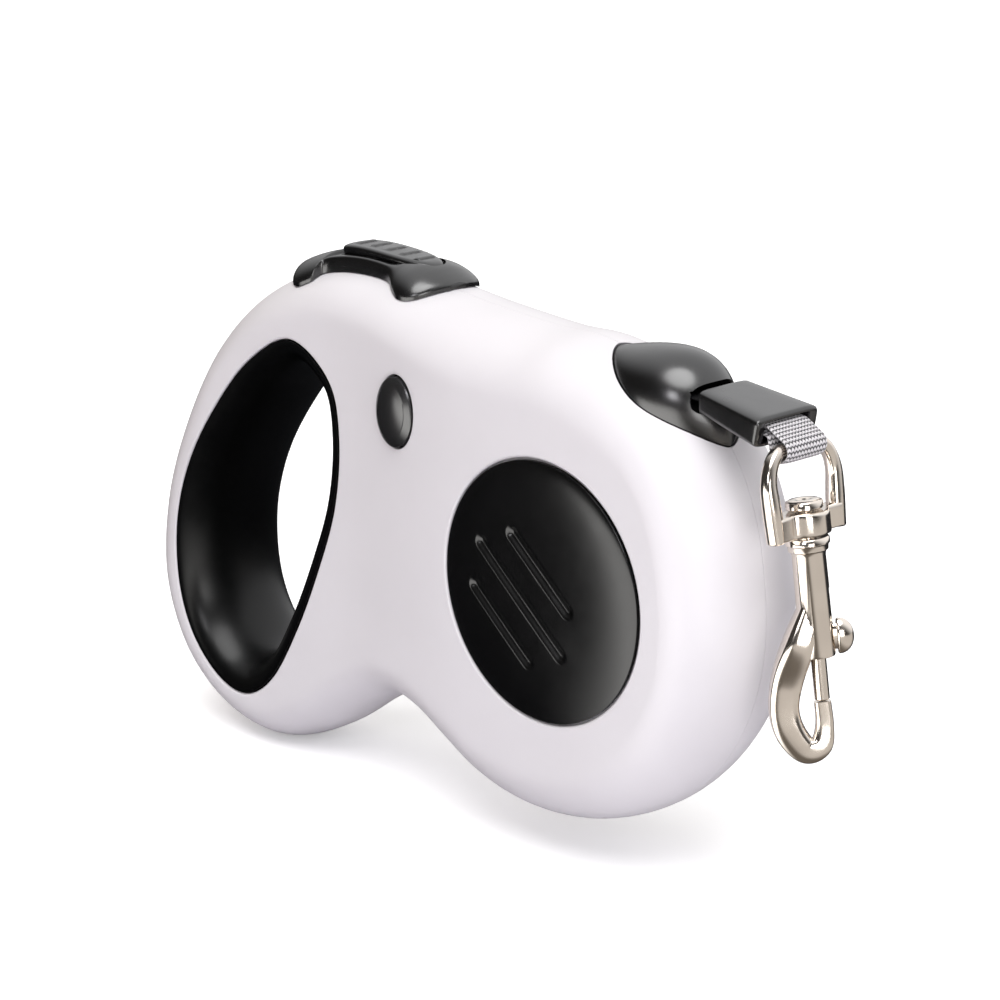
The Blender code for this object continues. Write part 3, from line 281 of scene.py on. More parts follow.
@dataclass
class Surface:
    """Points in millimetres and the point numbers of each face."""

    points: Array
    faces: list[list[int]]

    @classmethod
    def grid(
        cls, points: Array, wrap_rows: bool = False, wrap_columns: bool = True, caps: bool = False
    ) -> "Surface":
        """Four-sided faces between the rows and columns of a grid of points.

        Args:
            points: Rows by columns by three.
            wrap_rows: Whether the last row joins the first.
            wrap_columns: Whether the last column joins the first.
            caps: Whether a flat face closes the first and the last row.

        Returns:
            The surface.
        """
        rows, columns, _ = points.shape
        row = np.arange(rows if wrap_rows else rows - 1)[:, None]
        column = np.arange(columns if wrap_columns else columns - 1)[None, :]
        row_on, column_on = (row + 1) % rows, (column + 1) % columns
        corners = (
            row * columns + column,
            row * columns + column_on,
            row_on * columns + column_on,
            row_on * columns + column,
        )
        faces = np.stack(corners, axis=-1).reshape(-1, 4).tolist()
        if caps:
            faces.append(list(range(columns)))
            faces.append(list(range((rows - 1) * columns, rows * columns)))
        return cls(points.reshape(-1, 3), faces)

    @classmethod
    def turned(cls, profile: Array, steps: int) -> "Surface":
        """A profile turned about the third axis, with flat ends.

        Args:
            profile: Rows of radius and height.
            steps: Points around.

        Returns:
            The closed surface.
        """
        profile = np.asarray(profile, float)
        ring = oval(profile[:, 0], profile[:, 0], steps)
        height = np.broadcast_to(profile[:, 1, None, None], (*ring.shape[:2], 1))
        return cls.grid(np.concatenate([ring, height], axis=-1), caps=True)

    @classmethod
    def upright(cls, rings: Array, heights: Array) -> "Surface":
        """Rings of x and z set across y at the given heights, with flat ends.

        Args:
            rings: One ring for each height.
            heights: y of each ring, or of each point of each ring.

        Returns:
            The closed surface.
        """
        heights = np.broadcast_to(np.asarray(heights, float).reshape(len(rings), -1), rings.shape[:2])
        return cls.grid(raised(rings, heights), caps=True)

    @classmethod
    def block(cls, low: Triple, high: Triple) -> "Surface":
        """A box between two corners."""
        plan = np.array([(low[0], low[2]), (high[0], low[2]), (high[0], high[2]), (low[0], high[2])])
        return cls.upright(np.stack([plan, plan]), (low[1], high[1]))

    def on(self, side: Side) -> "Surface":
        """The surface as made for the left, or its mirror image for the right."""
        return Surface(self.points * (1.0, side.value, 1.0), self.faces)

    def set_along(self, origin: Array, axes: Array) -> "Surface":
        """The surface with its own three axes laid along the given ones."""
        return Surface(origin + self.points @ axes, self.faces)


class Workshop:
    """Turns surfaces into finished objects in the frame."""

    merge: float = 2e-6

    def __init__(self) -> None:
        """Find the axle, from which all lengths are measured."""
        low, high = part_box("reel_axle")
        self.axle = np.array((low + high) / 2)

    def world(self, points: Array) -> Array:
        """Points of the frame, in metres, from millimetres seen from the axle."""
        return np.asarray(points, float) * MM + self.axle

    def build(
        self, name: str, surface: Surface, sharp_deg: float = 35.0, yarn_height: Array | None = None
    ) -> bpy.types.Object:
        """An object from a surface, with seams and poles closed and faces turned outwards.

        Args:
            name: The object's name.
            surface: Its points and faces.
            sharp_deg: Edges that bend more than this stay sharp.
            yarn_height: For a woven piece, the height of the weave at each point.

        Returns:
            The new object.
        """
        mesh = bpy.data.meshes.new(name)
        mesh.from_pydata(self.world(surface.points), [], surface.faces)
        if yarn_height is not None:
            weave = mesh.attributes.new("yarn_height", "FLOAT", "POINT")
            weave.data.foreach_set("value", yarn_height.ravel())
        form = bmesh.new()
        form.from_mesh(mesh)
        bmesh.ops.remove_doubles(form, verts=form.verts, dist=self.merge)
        bmesh.ops.recalc_face_normals(form, faces=form.faces)
        if form.calc_volume(signed=True) < 0:
            bmesh.ops.reverse_faces(form, faces=form.faces)
        form.to_mesh(mesh)
        form.free()
        made = bpy.data.objects.new(name, mesh)
        bpy.context.scene.collection.objects.link(made)
        self.smooth(made, sharp_deg)
        return made

    def smooth(self, made: bpy.types.Object, sharp_deg: float) -> None:
        """Shade an object smooth, with edges sharp past an angle."""
        made.data.shade_smooth()
        made.data.set_sharp_from_angle(angle=math.radians(sharp_deg))

    def carve(
        self, made: bpy.types.Object, changes: list[tuple[Cut, Surface]], sharp_deg: float = 35.0
    ) -> None:
        """Join closed forms to an object or remove them from it, one after the other.

        Args:
            made: The object to change.
            changes: What to do, and with which form.
            sharp_deg: Edges that bend more than this stay sharp.
        """
        helpers = []
        for number, (cut, surface) in enumerate(changes):
            helper = self.build(f"{made.name}_helper_{number}", surface)
            step = made.modifiers.new(cut.value, "BOOLEAN")
            step.operation = cut.value
            step.solver = "MANIFOLD"
            step.object = helper
            helpers.append(helper)
        depsgraph = bpy.context.evaluated_depsgraph_get()
        mesh = bpy.data.meshes.new_from_object(made.evaluated_get(depsgraph))
        made.modifiers.clear()
        old, made.data = made.data, mesh
        mesh.name = made.name
        bpy.data.meshes.remove(old)
        for helper in helpers:
            bpy.data.meshes.remove(helper.data)
        self.smooth(made, sharp_deg)

    def fit(self, made: bpy.types.Object, finish: "Finish", body: Body, *nodes: str) -> None:
        """Give a piece its finish, the body it rides on and the nodes it stands for.

        Args:
            made: The piece.
            finish: What its surface is.
            body: The body that carries it.
            nodes: The frame's nodes that it replaces.
        """
        finish.dress(made)
        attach(made, body.value)
        if nodes:
            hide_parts(*nodes)
        log.info("%s: %d faces on %s", made.name, len(made.data.polygons), body.value)

    def stretch(
        self, made: bpy.types.Object, finish: "Finish", held: Hold, moved: Hold, node: str
    ) -> None:
        """Give a piece its finish, fix its place in its points and hide the frame's node that it replaces.

        Args:
            made: The piece.
            finish: What its surface is.
            held: The first body and one end of the piece.
            moved: The second body and the other end.
            node: The frame's node that it replaces.
        """
        finish.dress(made)
        start, end = (tuple(self.world(place)) for _, place in (held, moved))
        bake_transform(made)
        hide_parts(node)


# Finishes


class Graph:
    """Adds nodes to a node tree and links them."""

    def __init__(self, tree: bpy.types.NodeTree) -> None:
        """Keep the tree that the nodes go into."""
        self.tree = tree

    def add(self, kind: str, inputs: dict | None = None, **settings: object) -> bpy.types.Node:
        """A new node with its settings and inputs.

        Args:
            kind: The node's type.
            inputs: For each input's name or number, a value or the socket that feeds it.
            settings: Properties of the node.

        Returns:
            The node.
        """
        node = self.tree.nodes.new(kind)
        for name, value in settings.items():
            setattr(node, name, value)
        for name, value in (inputs or {}).items():
            if isinstance(value, bpy.types.NodeSocket):
                self.tree.links.new(value, node.inputs[name])
            else:
                node.inputs[name].default_value = value
        return node

    def math(self, operation: str, a: object, b: object = 0.0, clamp: bool = False) -> bpy.types.NodeSocket:
        """The result of a Math node."""
        return self.add("ShaderNodeMath", {0: a, 1: b}, operation=operation, use_clamp=clamp).outputs[0]

    def mix(self, share: object, a: object, b: object) -> bpy.types.NodeSocket:
        """The colour between a and b."""
        return self.add("ShaderNodeMix", {0: share, 6: a, 7: b}, data_type="RGBA").outputs[2]

    def noise(self, where: bpy.types.NodeSocket, scale: float, detail: float = 2.0) -> bpy.types.NodeSocket:
        """Soft noise about one half."""
        inputs = {"Vector": where, "Scale": scale, "Detail": detail}
        return self.add("ShaderNodeTexNoise", inputs).outputs[0]

    def place(self, stretch: Triple = (1.0, 1.0, 1.0)) -> bpy.types.NodeSocket:
        """The piece's own coordinates, stretched along the axes."""
        where = self.add("ShaderNodeTexCoord").outputs["Object"]
        return self.add("ShaderNodeMapping", {"Vector": where, "Scale": stretch}).outputs[0]

    def remap(self, value: bpy.types.NodeSocket, low: float, high: float) -> bpy.types.NodeSocket:
        """A smooth share of 0 at low and 1 at high."""
        inputs = {"Value": value, "From Min": low, "From Max": high}
        return self.add("ShaderNodeMapRange", inputs, interpolation_type="SMOOTHSTEP").outputs[0]


class Effect:
    """A shader node group with named inputs and outputs, made once."""

    def __init__(self, name: str, numbers: list[str], colours: list[str], outputs: dict[str, str]) -> None:
        """Make an empty group.

        Args:
            name: The group's name.
            numbers: Names of its number inputs.
            colours: Names of its colour inputs.
            outputs: For each output's name, its socket type.
        """
        self.tree = bpy.data.node_groups.new(name, "ShaderNodeTree")
        for label in colours:
            self.tree.interface.new_socket(label, in_out="INPUT", socket_type="NodeSocketColor")
        for label in numbers:
            self.tree.interface.new_socket(label, in_out="INPUT", socket_type="NodeSocketFloat")
        for label, kind in outputs.items():
            self.tree.interface.new_socket(label, in_out="OUTPUT", socket_type=kind)
        self.graph = Graph(self.tree)
        self.given = self.graph.add("NodeGroupInput").outputs
        self.asked = self.graph.add("NodeGroupOutput").inputs

    def give(self, label: str, socket: bpy.types.NodeSocket) -> None:
        """Feed one of the group's outputs."""
        self.tree.links.new(socket, self.asked[label])


SURFACE_OUTPUTS = {"Colour": "NodeSocketColor", "Roughness": "NodeSocketFloat", "Height": "NodeSocketFloat"}


def moulded_skin() -> bpy.types.NodeTree:
    """Plastic as it leaves the mould: a slow drift between two tones, patchy gloss and a fine grain.

    Returns:
        The node group.
    """
    effect = Effect("moulded_skin", ["Roughness", "Spread"], ["Colour", "Shade"], SURFACE_OUTPUTS)
    graph = effect.graph
    where = graph.place()
    drift = graph.remap(graph.noise(where, 38.0, 3.0), 0.3, 0.7)
    effect.give("Colour", graph.mix(drift, effect.given["Colour"], effect.given["Shade"]))
    patch = graph.math("SUBTRACT", graph.noise(where, 240.0, 4.0), 0.5)
    spread = graph.math("MULTIPLY", patch, effect.given["Spread"])
    effect.give("Roughness", graph.math("ADD", effect.given["Roughness"], spread, clamp=True))
    grain = graph.math("MULTIPLY", graph.noise(where, 2400.0, 2.0), 0.7)
    swell = graph.math("MULTIPLY", graph.noise(where, 700.0, 2.0), 0.3)
    effect.give("Height", graph.math("ADD", grain, swell))
    return effect.tree


def handling_marks() -> bpy.types.NodeTree:
    """A sparse mask of hairline scuffs and dull finger patches.

    Returns:
        The node group.
    """
    effect = Effect("handling_marks", ["Amount"], [], {"Mask": "NodeSocketFloat"})
    graph = effect.graph
    across = graph.noise(graph.place((0.25, 1.0, 3.5)), 900.0, 3.0)
    scuff = graph.remap(across, 0.66, 0.78)
    patch = graph.remap(graph.noise(graph.place(), 70.0, 5.0), 0.52, 0.72)
    both = graph.math("ADD", graph.math("MULTIPLY", scuff, patch), graph.math("MULTIPLY", patch, 0.35))
    effect.give("Mask", graph.math("MULTIPLY", both, effect.given["Amount"], clamp=True))
    return effect.tree


def plated_skin() -> bpy.types.NodeTree:
    """Plating over a casting: cloudy tone, a faint orange peel and short polishing streaks.

    Returns:
        The node group.
    """
    effect = Effect("plated_skin", ["Roughness", "Spread"], ["Colour", "Shade"], SURFACE_OUTPUTS)
    graph = effect.graph
    where = graph.place()
    cloud = graph.remap(graph.noise(where, 120.0, 4.0), 0.35, 0.65)
    effect.give("Colour", graph.mix(cloud, effect.given["Colour"], effect.given["Shade"]))
    streak = graph.math("SUBTRACT", graph.noise(graph.place((1.0, 1.0, 0.08)), 2600.0, 3.0), 0.5)
    spread = graph.math("MULTIPLY", streak, effect.given["Spread"])
    effect.give("Roughness", graph.math("ADD", effect.given["Roughness"], spread, clamp=True))
    effect.give("Height", graph.noise(where, 520.0, 2.0))
    return effect.tree


def woven_thread() -> bpy.types.NodeTree:
    """Yarn by its height in the weave: painted shade darkens the gaps towards the Shade colour, the crowns
    keep the yarn's colour, and hairs run across each yarn.

    Returns:
        The node group.
    """
    effect = Effect("woven_thread", [], ["Colour", "Shade"], SURFACE_OUTPUTS)
    graph = effect.graph
    height = graph.add("ShaderNodeAttribute", attribute_name="yarn_height").outputs["Fac"]
    hair = graph.noise(graph.place(), 5200.0, 3.0)
    # Painted shade: where the yarn lies low in a gap, the colour goes towards the Shade colour.
    lift = graph.remap(height, 0.12, 0.8)
    light = graph.math("ADD", graph.math("MULTIPLY", hair, 0.5), 0.75)
    shown = graph.math("MULTIPLY", lift, light, clamp=True)
    effect.give("Colour", graph.mix(shown, effect.given["Shade"], effect.given["Colour"]))
    effect.give("Roughness", graph.math("ADD", graph.math("MULTIPLY", hair, 0.3), 0.6, clamp=True))
    effect.give("Height", hair)
    return effect.tree


class Effects(Enum):
    """The shared effects, by the function that makes them."""

    MOULDED = "moulded_skin"
    PLATED = "plated_skin"
    WOVEN = "woven_thread"
    MARKS = "handling_marks"

    def tree(self) -> bpy.types.NodeTree:
        """The effect's node group, made at its first use.

        Returns:
            The node group.
        """
        makers = {
            Effects.MOULDED: moulded_skin,
            Effects.PLATED: plated_skin,
            Effects.WOVEN: woven_thread,
            Effects.MARKS: handling_marks,
        }
        return bpy.data.node_groups.get(self.value) or makers[self]()


@dataclass(frozen=True)
class Finish:
    """A surface finish: its tones, gloss, grain and signs of use."""

    slot: str
    effect: Effects
    colour: Colour
    shade: Colour
    roughness: float
    spread: float = 0.1
    grain: float = 0.01
    marks: float = 0.0
    metallic: float = 0.0
    specular: float = 0.5
    sheen: float = 0.0
    label: str = ""

    def material(self) -> bpy.types.Material:
        """The finish's material, made at its first use.

        Returns:
            The material.
        """
        name = f"{self.label or self.slot}_finish"
        found = bpy.data.materials.get(name)
        if found:
            return found
        made = bpy.data.materials.new(name)
        made.use_nodes = True
        graph = Graph(made.node_tree)
        shader = made.node_tree.nodes["Principled BSDF"]
        skin = graph.add("ShaderNodeGroup", node_tree=self.effect.tree())
        skin.inputs["Colour"].default_value = (*self.colour, 1.0)
        skin.inputs["Shade"].default_value = (*self.shade, 1.0)
        if "Roughness" in skin.inputs:
            skin.inputs["Roughness"].default_value = self.roughness
            skin.inputs["Spread"].default_value = self.spread
        gloss = skin.outputs["Roughness"]
        if self.marks:
            worn = graph.add("ShaderNodeGroup", {"Amount": self.marks}, node_tree=Effects.MARKS.tree())
            dulled = graph.math("MULTIPLY", worn.outputs["Mask"], 0.3)
            gloss = graph.math("ADD", gloss, dulled, clamp=True)
        bump = graph.add("ShaderNodeBump", {"Height": skin.outputs["Height"]})
        bump.inputs["Strength"].default_value = 0.6
        bump.inputs["Distance"].default_value = self.grain * MM
        shader.inputs["Metallic"].default_value = self.metallic
        shader.inputs["Specular IOR Level"].default_value = self.specular
        shader.inputs["Sheen Weight"].default_value = self.sheen
        links = made.node_tree.links
        links.new(skin.outputs["Colour"], shader.inputs["Base Color"])
        links.new(gloss, shader.inputs["Roughness"])
        links.new(bump.outputs["Normal"], shader.inputs["Normal"])
        return made

    def dress(self, made: bpy.types.Object) -> None:
        """Put the finish on an object.

        Args:
            made: The object.
        """
        made.data.materials.clear()
        made.data.materials.append(self.material())


WHITE_PLASTIC = Finish(
    "white_plastic", Effects.MOULDED, (0.705, 0.685, 0.705), (0.685, 0.665, 0.685), 0.42, 0.08, 0.012, 0.25
)
BLACK_PLASTIC = Finish(
    "black_plastic", Effects.MOULDED, (0.002, 0.002, 0.0021), (0.003, 0.003, 0.0031), 0.22, 0.08, 0.01, 0.25,
    specular=0.55,
)
BLACK_RUBBER = Finish(
    "black_rubber", Effects.MOULDED, (0.001, 0.001, 0.0011), (0.0016, 0.0016, 0.0017), 0.32, 0.1, 0.016, 0.3,
    specular=0.32,
)
GREY_PLASTIC = Finish(
    "grey_plastic", Effects.MOULDED, (0.0025, 0.0025, 0.0026), (0.004, 0.004, 0.0041), 0.25, 0.1, 0.014, 0.3,
    specular=1.0,
)
# A paler copy of the grey plastic for the lock button: painted light, which lifts the dark dome towards grey.
PAINTED_LIGHT_BUTTON = Finish(
    "grey_plastic", Effects.MOULDED, (0.012, 0.012, 0.0122), (0.016, 0.016, 0.0162), 0.24, 0.1, 0.014, 0.4,
    specular=1.0, label="painted_light_button",
)
INNER_PLASTIC = Finish(
    "inner_plastic", Effects.MOULDED, (0.30, 0.31, 0.33), (0.26, 0.27, 0.29), 0.5, 0.12, 0.02
)
NICKEL = Finish(
    "nickel", Effects.PLATED, (0.80, 0.73, 0.655), (0.75, 0.685, 0.615), 0.15, 0.08, 0.006, 0.5, 1.0
)
STEEL = Finish(
    "steel", Effects.PLATED, (0.56, 0.57, 0.58), (0.48, 0.49, 0.51), 0.3, 0.14, 0.01, 0.3, 1.0
)
# Pale webbing; its second colour is painted shade, laid in the gaps between the yarns.
WEBBING = Finish(
    "webbing", Effects.WOVEN, (0.64, 0.62, 0.635), (0.03, 0.029, 0.032), 0.8, 0.0, 0.02, 0.0, 0.0, 0.3, 0.3
)
# A near-black copy of the webbing for the tape: painted shade, so that the tape inside the nozzle's mouth
# reads as the mouth's dark inside. Its second colour is painted shade in the gaps between the yarns.
SHADE_DARK_TAPE = Finish(
    "webbing", Effects.WOVEN, (0.012, 0.012, 0.013), (0.003, 0.003, 0.0033), 0.8, 0.0, 0.02, specular=0.1,
    label="painted_shade_tape",
)


# Forms that pieces share


@dataclass(frozen=True)
class CaseForm:
    """The case's side outline, its thickness and its rounded edge."""

    arc_centre: Pair = (-7.0, -1.0)
    arc_radius: float = 55.0
    arc_span_deg: Pair = (-122.0, 97.0)
    arc_points: int = 19
    shoulder_span_deg: Pair = (5.0, 80.0)
    shoulder_bulge: float = 2.8
    handle_points: tuple[Pair, ...] = (
        (-36.0, 55.2), (-58.0, 57.6), (-80.0, 56.9), (-101.0, 49.6), (-118.0, 35.5),
        (-131.0, 16.0), (-140.0, -6.0), (-142.0, -28.5), (-134.0, -48.0), (-118.5, -60.0),
        (-100.0, -63.3), (-84.0, -57.0), (-70.0, -47.5), (-58.0, -41.5), (-47.0, -42.5),
    )
    opening_points: tuple[Pair, ...] = (
        (-69.0, 20.0), (-72.5, 33.0), (-86.0, 40.5), (-101.0, 33.0), (-114.0, 19.5),
        (-124.5, 4.0), (-130.0, -12.0), (-130.0, -28.0), (-125.0, -40.5), (-115.5, -49.0),
        (-105.0, -51.0), (-95.0, -44.5), (-86.0, -31.0), (-78.0, -15.0), (-71.0, 3.0),
    )
    half_reel: float = 19.0
    half_handle: float = 15.5
    edge_reel: float = 13.0
    edge_handle: float = 10.0
    blend_x: Pair = (-75.0, -25.0)
    wall: float = 2.0
    cover_radius: float = 29.0
    cover_rise: float = 1.6
    cover_seat: float = 1.6
    lock_centre: Pair = (-47.0, 31.0)
    lock_half: Pair = (5.85, 8.1)
    lock_lean_deg: float = -4.4
    stem_x: float = -67.0
    stem_half: Pair = (3.0, 2.5)
    flange_radius: float = 38.5

    def half_thickness(self, x: Array) -> Array:
        """Half the case's thickness at x: the handle's, easing up to the reel's."""
        return self.half_handle + (self.half_reel - self.half_handle) * smoothstep(x, *self.blend_x)

    def edge_depth(self, x: Array) -> Array:
        """How far the rounded edge reaches in from the outline at x."""
        return self.edge_handle + (self.edge_reel - self.edge_handle) * smoothstep(x, *self.blend_x)

    def outline(self, count: int = 1440) -> Array:
        """The side outline: the reel's arc, fuller at its front shoulder, and the handle's curve.

        Args:
            count: Points around.

        Returns:
            A closed loop of x and z.
        """
        angles = np.linspace(*self.arc_span_deg, self.arc_points)
        low, high = self.shoulder_span_deg
        share = np.clip((angles - low) / (high - low), 0.0, 1.0)
        radius = self.arc_radius + self.shoulder_bulge * np.sin(math.pi * share) ** 2
        arc = np.array(self.arc_centre) + polar(radius, angles)
        curve = catmull_rom(np.concatenate([arc, self.handle_points]), 40, closed=True)
        return eased(resampled(curve, count, closed=True), 2.0)

    def opening(self, count: int = 300) -> Array:
        """The finger opening's outline."""
        curve = catmull_rom(self.opening_points, 40, closed=True)
        return eased(resampled(curve, count, closed=True), 1.0)

    def ridge_height(self, x: Array) -> Array:
        """Height of the case's top ridge, read off the outline.

        Args:
            x: Where to read it.

        Returns:
            z at each x.
        """
        loop = self.outline()
        top = loop[loop[:, 1] > 30.0]
        top = top[np.argsort(top[:, 0])]
        return np.interp(x, top[:, 0], top[:, 1])

    def ridge_drop(self, x: Array, y: Array) -> Array:
        """How far the rounded edge lies under the ridge at y off the middle: a quarter ellipse."""
        share = np.clip(np.asarray(y, float) / self.half_thickness(x), -1.0, 1.0)
        return self.edge_depth(x) * (1.0 - np.sqrt(1.0 - share**2))

    def surface_height(self, points: Array) -> Array:
        """Half thickness over points of the side view: a quarter ellipse in from the outline, then level.

        Args:
            points: Places as x and z.

        Returns:
            y of the outer surface at each.
        """
        gap = np.linalg.norm(points[:, None] - self.outline()[None], axis=-1).min(axis=1)
        share = np.clip(gap / self.edge_depth(points[:, 0]), 0.0, 1.0)
        return self.half_thickness(points[:, 0]) * np.sqrt(1.0 - (1.0 - share) ** 2)


@dataclass(frozen=True)
class TapeForm:
    """The nozzle's seat on the case, and the tape, sleeve and snap ahead of it."""

    case: CaseForm
    nose_angle_deg: float = 57.4
    nose_sink: float = 1.7
    nose_length: float = 37.5
    nose_tilt_deg: float = -26.6
    nose_height: float = 11.5
    nose_half_width: float = 12.0
    nose_depth: float = 4.0
    nose_trim: float = 1.7
    exit_rise: float = 2.5
    split_ahead: float = 8.3
    width: float = 12.4
    thickness: float = 0.9
    sleeve_ahead: float = 13.1
    sleeve_length: float = 17.4
    sleeve_drop: float = 3.2
    sleeve_rear: Pair = (7.7, 2.6)
    sleeve_front: Pair = (9.5, 3.3)
    sleeve_mouth: float = 2.35
    snap_ahead: float = 3.1
    snap_drop: float = 3.4
    bar_radius: float = 1.5

    def seat(self) -> Array:
        """The middle of the nozzle's chord, as x and z."""
        reach = self.case.arc_radius - self.nose_sink
        return np.array(self.case.arc_centre) + polar(reach, self.nose_angle_deg)

    def exit_z(self) -> float:
        """Height at which the tape leaves."""
        return float(self.seat()[1]) + self.exit_rise

    def sleeve_x(self) -> Pair:
        """Rear and front of the sleeve."""
        rear = float(self.seat()[0]) + self.sleeve_ahead
        return rear, rear + self.sleeve_length

    def sleeve_middle(self, x: Array) -> Array:
        """Height of the sleeve's centre line at x: level up to the sleeve, then drooping."""
        share = (np.asarray(x, float) - self.sleeve_x()[0]) / self.sleeve_length
        return self.exit_z() - self.sleeve_drop * np.maximum(share, 0.0)

    def snap_bar(self) -> Array:
        """The bar that the webbing holds, as x and z."""
        height = self.exit_z() - self.sleeve_drop - self.snap_drop
        return np.array((self.sleeve_x()[1] + self.snap_ahead, height))

    def nose(self, grow: float, rings: int = 72, steps: int = 72) -> Surface:
        """The leaf-shaped nose: ovals along its chord, higher above than below, with pointed ends.

        Args:
            grow: Clearance added all round.
            rings: Ovals along the chord.
            steps: Points around each oval.

        Returns:
            The closed surface.
        """
        share = 0.5 - 0.4995 * np.cos(np.linspace(0.0, math.pi, rings))
        belly = np.sin(math.pi * share)
        half = self.nose_half_width * belly**0.65 + grow
        high = self.nose_height * np.sin(math.pi * share**1.25) ** 0.78 + grow
        low = self.nose_depth * belly**0.5 + grow
        turn = np.linspace(0.0, 2 * math.pi, steps, endpoint=False)[None, :]
        lift = np.where(np.sin(turn) > 0, high[:, None], low[:, None]) * np.sin(turn)
        along = polar(1.0, self.nose_tilt_deg)
        out = np.array((-along[1], along[0]))
        run = (share - 0.5) * (self.nose_length - self.nose_trim + 2 * grow) - self.nose_trim / 2
        plan = self.seat() + run[:, None, None] * along + lift[..., None] * out
        width = half[:, None] * np.cos(turn)
        return Surface.grid(raised(plan, width), caps=True)


# Case


@dataclass
class CaseShells:
    """The two white halves, with their bosses, cut-outs and softened edges."""

    shop: Workshop
    form: CaseForm
    tape: TapeForm
    stations: int = 240
    edge_rows: int = 16
    flat_rows: int = 60
    seam: float = 0.05
    lip: float = 0.8
    lock_lip_share: float = 0.3
    lock_floor: float = 12.0
    outside: float = 30.0
    boss_radius: float = 4.45
    sink_radius: float = 3.15
    hole_radius: float = 1.7
    sink_y: float = 7.0
    hole_end: float = 8.3
    reel_screws_out: Pair = (6.7, 1.6)
    reel_screws_deg: Pair = (-124.0, -80.0)
    handle_screws: tuple[Pair, ...] = ((-57.0, -24.0), (-134.0, -18.0), (-96.5, -53.6))
    pivot: Pair = (-22.0, 43.5)
    pivot_boss: Pair = (3.1, 3.45)
    pivot_hole: Triple = (1.8, 2.0, 14.5)
    socket: Triple = (7.5, 11.5, 15.5)
    socket_bore: float = 4.3
    stem_reach: float = 6.0

    def half(self) -> Surface:
        """The left half of the case as one closed skin.

        A column stands at each of a row of x places that crowd towards both ends. It is a ring round
        the wall: from the bottom rim along a quarter ellipse up to the flat side, straight across to
        the top edge, down its quarter ellipse to the top rim, and back along the inside.

        Returns:
            The surface, whose first and last columns fold flat onto themselves.
        """
        loop = self.form.outline()
        inward = inward_normals(loop)
        depth = self.form.edge_depth(loop[:, 0])[:, None]
        table = np.concatenate([loop, inward, depth, loop + inward * depth], axis=1)
        table = np.roll(table, -int(np.argmin(table[:, 5])), axis=0)
        turn = int(np.argmax(table[:, 5]))
        x = np.append(table[:, 5], table[0, 5])
        number = np.arange(len(x))
        spread = (1.0 - np.cos(np.linspace(0.0, math.pi, self.stations))) / 2
        at = x[0] + (x[turn] - x[0]) * spread
        low = loop_at(table, np.interp(at, np.maximum.accumulate(x[: turn + 1]), number[: turn + 1]))
        back = slice(None, turn - 1 if turn else None, -1)
        high = loop_at(table, np.interp(at, np.maximum.accumulate(x[back]), number[back]))
        outer = [self.edge(chain, 0.0, self.edge_rows) for chain in (low, high)]
        inner = [self.edge(chain, self.form.wall, 7) for chain in (low, high)]
        rows = [
            outer[0], self.flat(outer[0][-1], outer[1][-1], self.flat_rows), outer[1][::-1],
            inner[1], self.flat(inner[1][-1], inner[0][-1], 10), inner[0][::-1],
        ]
        return Surface.grid(np.concatenate(rows), wrap_rows=True, wrap_columns=False)

    def edge(self, chain: Array, wall: float, steps: int) -> Array:
        """Rows of the rounded edge from the rim to the flat side: a quarter ellipse in each section.

        Args:
            chain: For each column, its place, the way inwards and the edge's depth.
            wall: How far inside the outer skin the rows lie.
            steps: How many rows.

        Returns:
            Rows by columns of points. The outer skin starts with a small bevel at the seam.
        """
        place, inward, depth = chain[:, :2], chain[:, 2:4], chain[:, 4]
        across, rise = quarter(steps)
        inset = wall + (depth - wall) * across[:, None]
        bevel = self.seam if wall == 0.0 else 0.0
        rim = self.seam + bevel
        plan = place + inward * inset[..., None]
        height = rim + (self.form.half_thickness(plan[..., 0]) - wall - rim) * rise[:, None]
        rows = raised(plan, height)
        if not bevel:
            return rows
        return np.concatenate([raised(place + inward * bevel, self.seam)[None], rows])

    def flat(self, start: Array, end: Array, steps: int) -> Array:
        """Rows straight across from one edge to the other, without the edges themselves."""
        share = np.linspace(0.0, 1.0, steps + 1)[1:-1, None, None]
        return start + (end - start) * share

    def sunk(self, loop: Array, floor: float, lip: float) -> Surface:
        """A hole down from the side, whose lip rolls out along a quarter circle.

        Args:
            loop: The hole's outline.
            floor: y at which it ends.
            lip: Radius of the rolled lip.

        Returns:
            The closed form to remove.
        """
        outward = -inward_normals(loop)
        across, rise = quarter(7)
        rings = loop + outward * (lip * across)[:, None, None]
        top = self.form.half_thickness(rings[..., 0]) + 0.02
        heights = top - lip * (1.0 - rise)[:, None]
        rings = np.concatenate([loop[None], rings, rings[-1:]])
        ends = [np.full(len(loop), floor), np.full(len(loop), self.outside)]
        heights = np.concatenate([ends[0][None], heights, ends[1][None]])
        return Surface.upright(rings, heights)

    def post(self, centre: Array, radius: float, low: float, high: float, steps: int = 40) -> Surface:
        """A round post or hole along y."""
        ring = oval(radius, radius, steps) + centre
        return Surface.upright(np.stack([ring, ring]), (low, high))

    def boss_end(self, centre: Array, radius: float) -> float:
        """How far out a boss can reach inside the wall."""
        ring = oval(radius, radius, 24) + centre
        return float(self.form.surface_height(ring).min()) - self.form.wall / 3

    def screw_places(self) -> Array:
        """Where the case screws sit: two outside the reel's rim and three in the handle.

        Returns:
            Places as x and z.
        """
        reach = self.form.flange_radius + self.boss_radius
        reel = polar(reach + np.array(self.reel_screws_out), np.array(self.reel_screws_deg))
        return np.concatenate([reel, self.handle_screws])

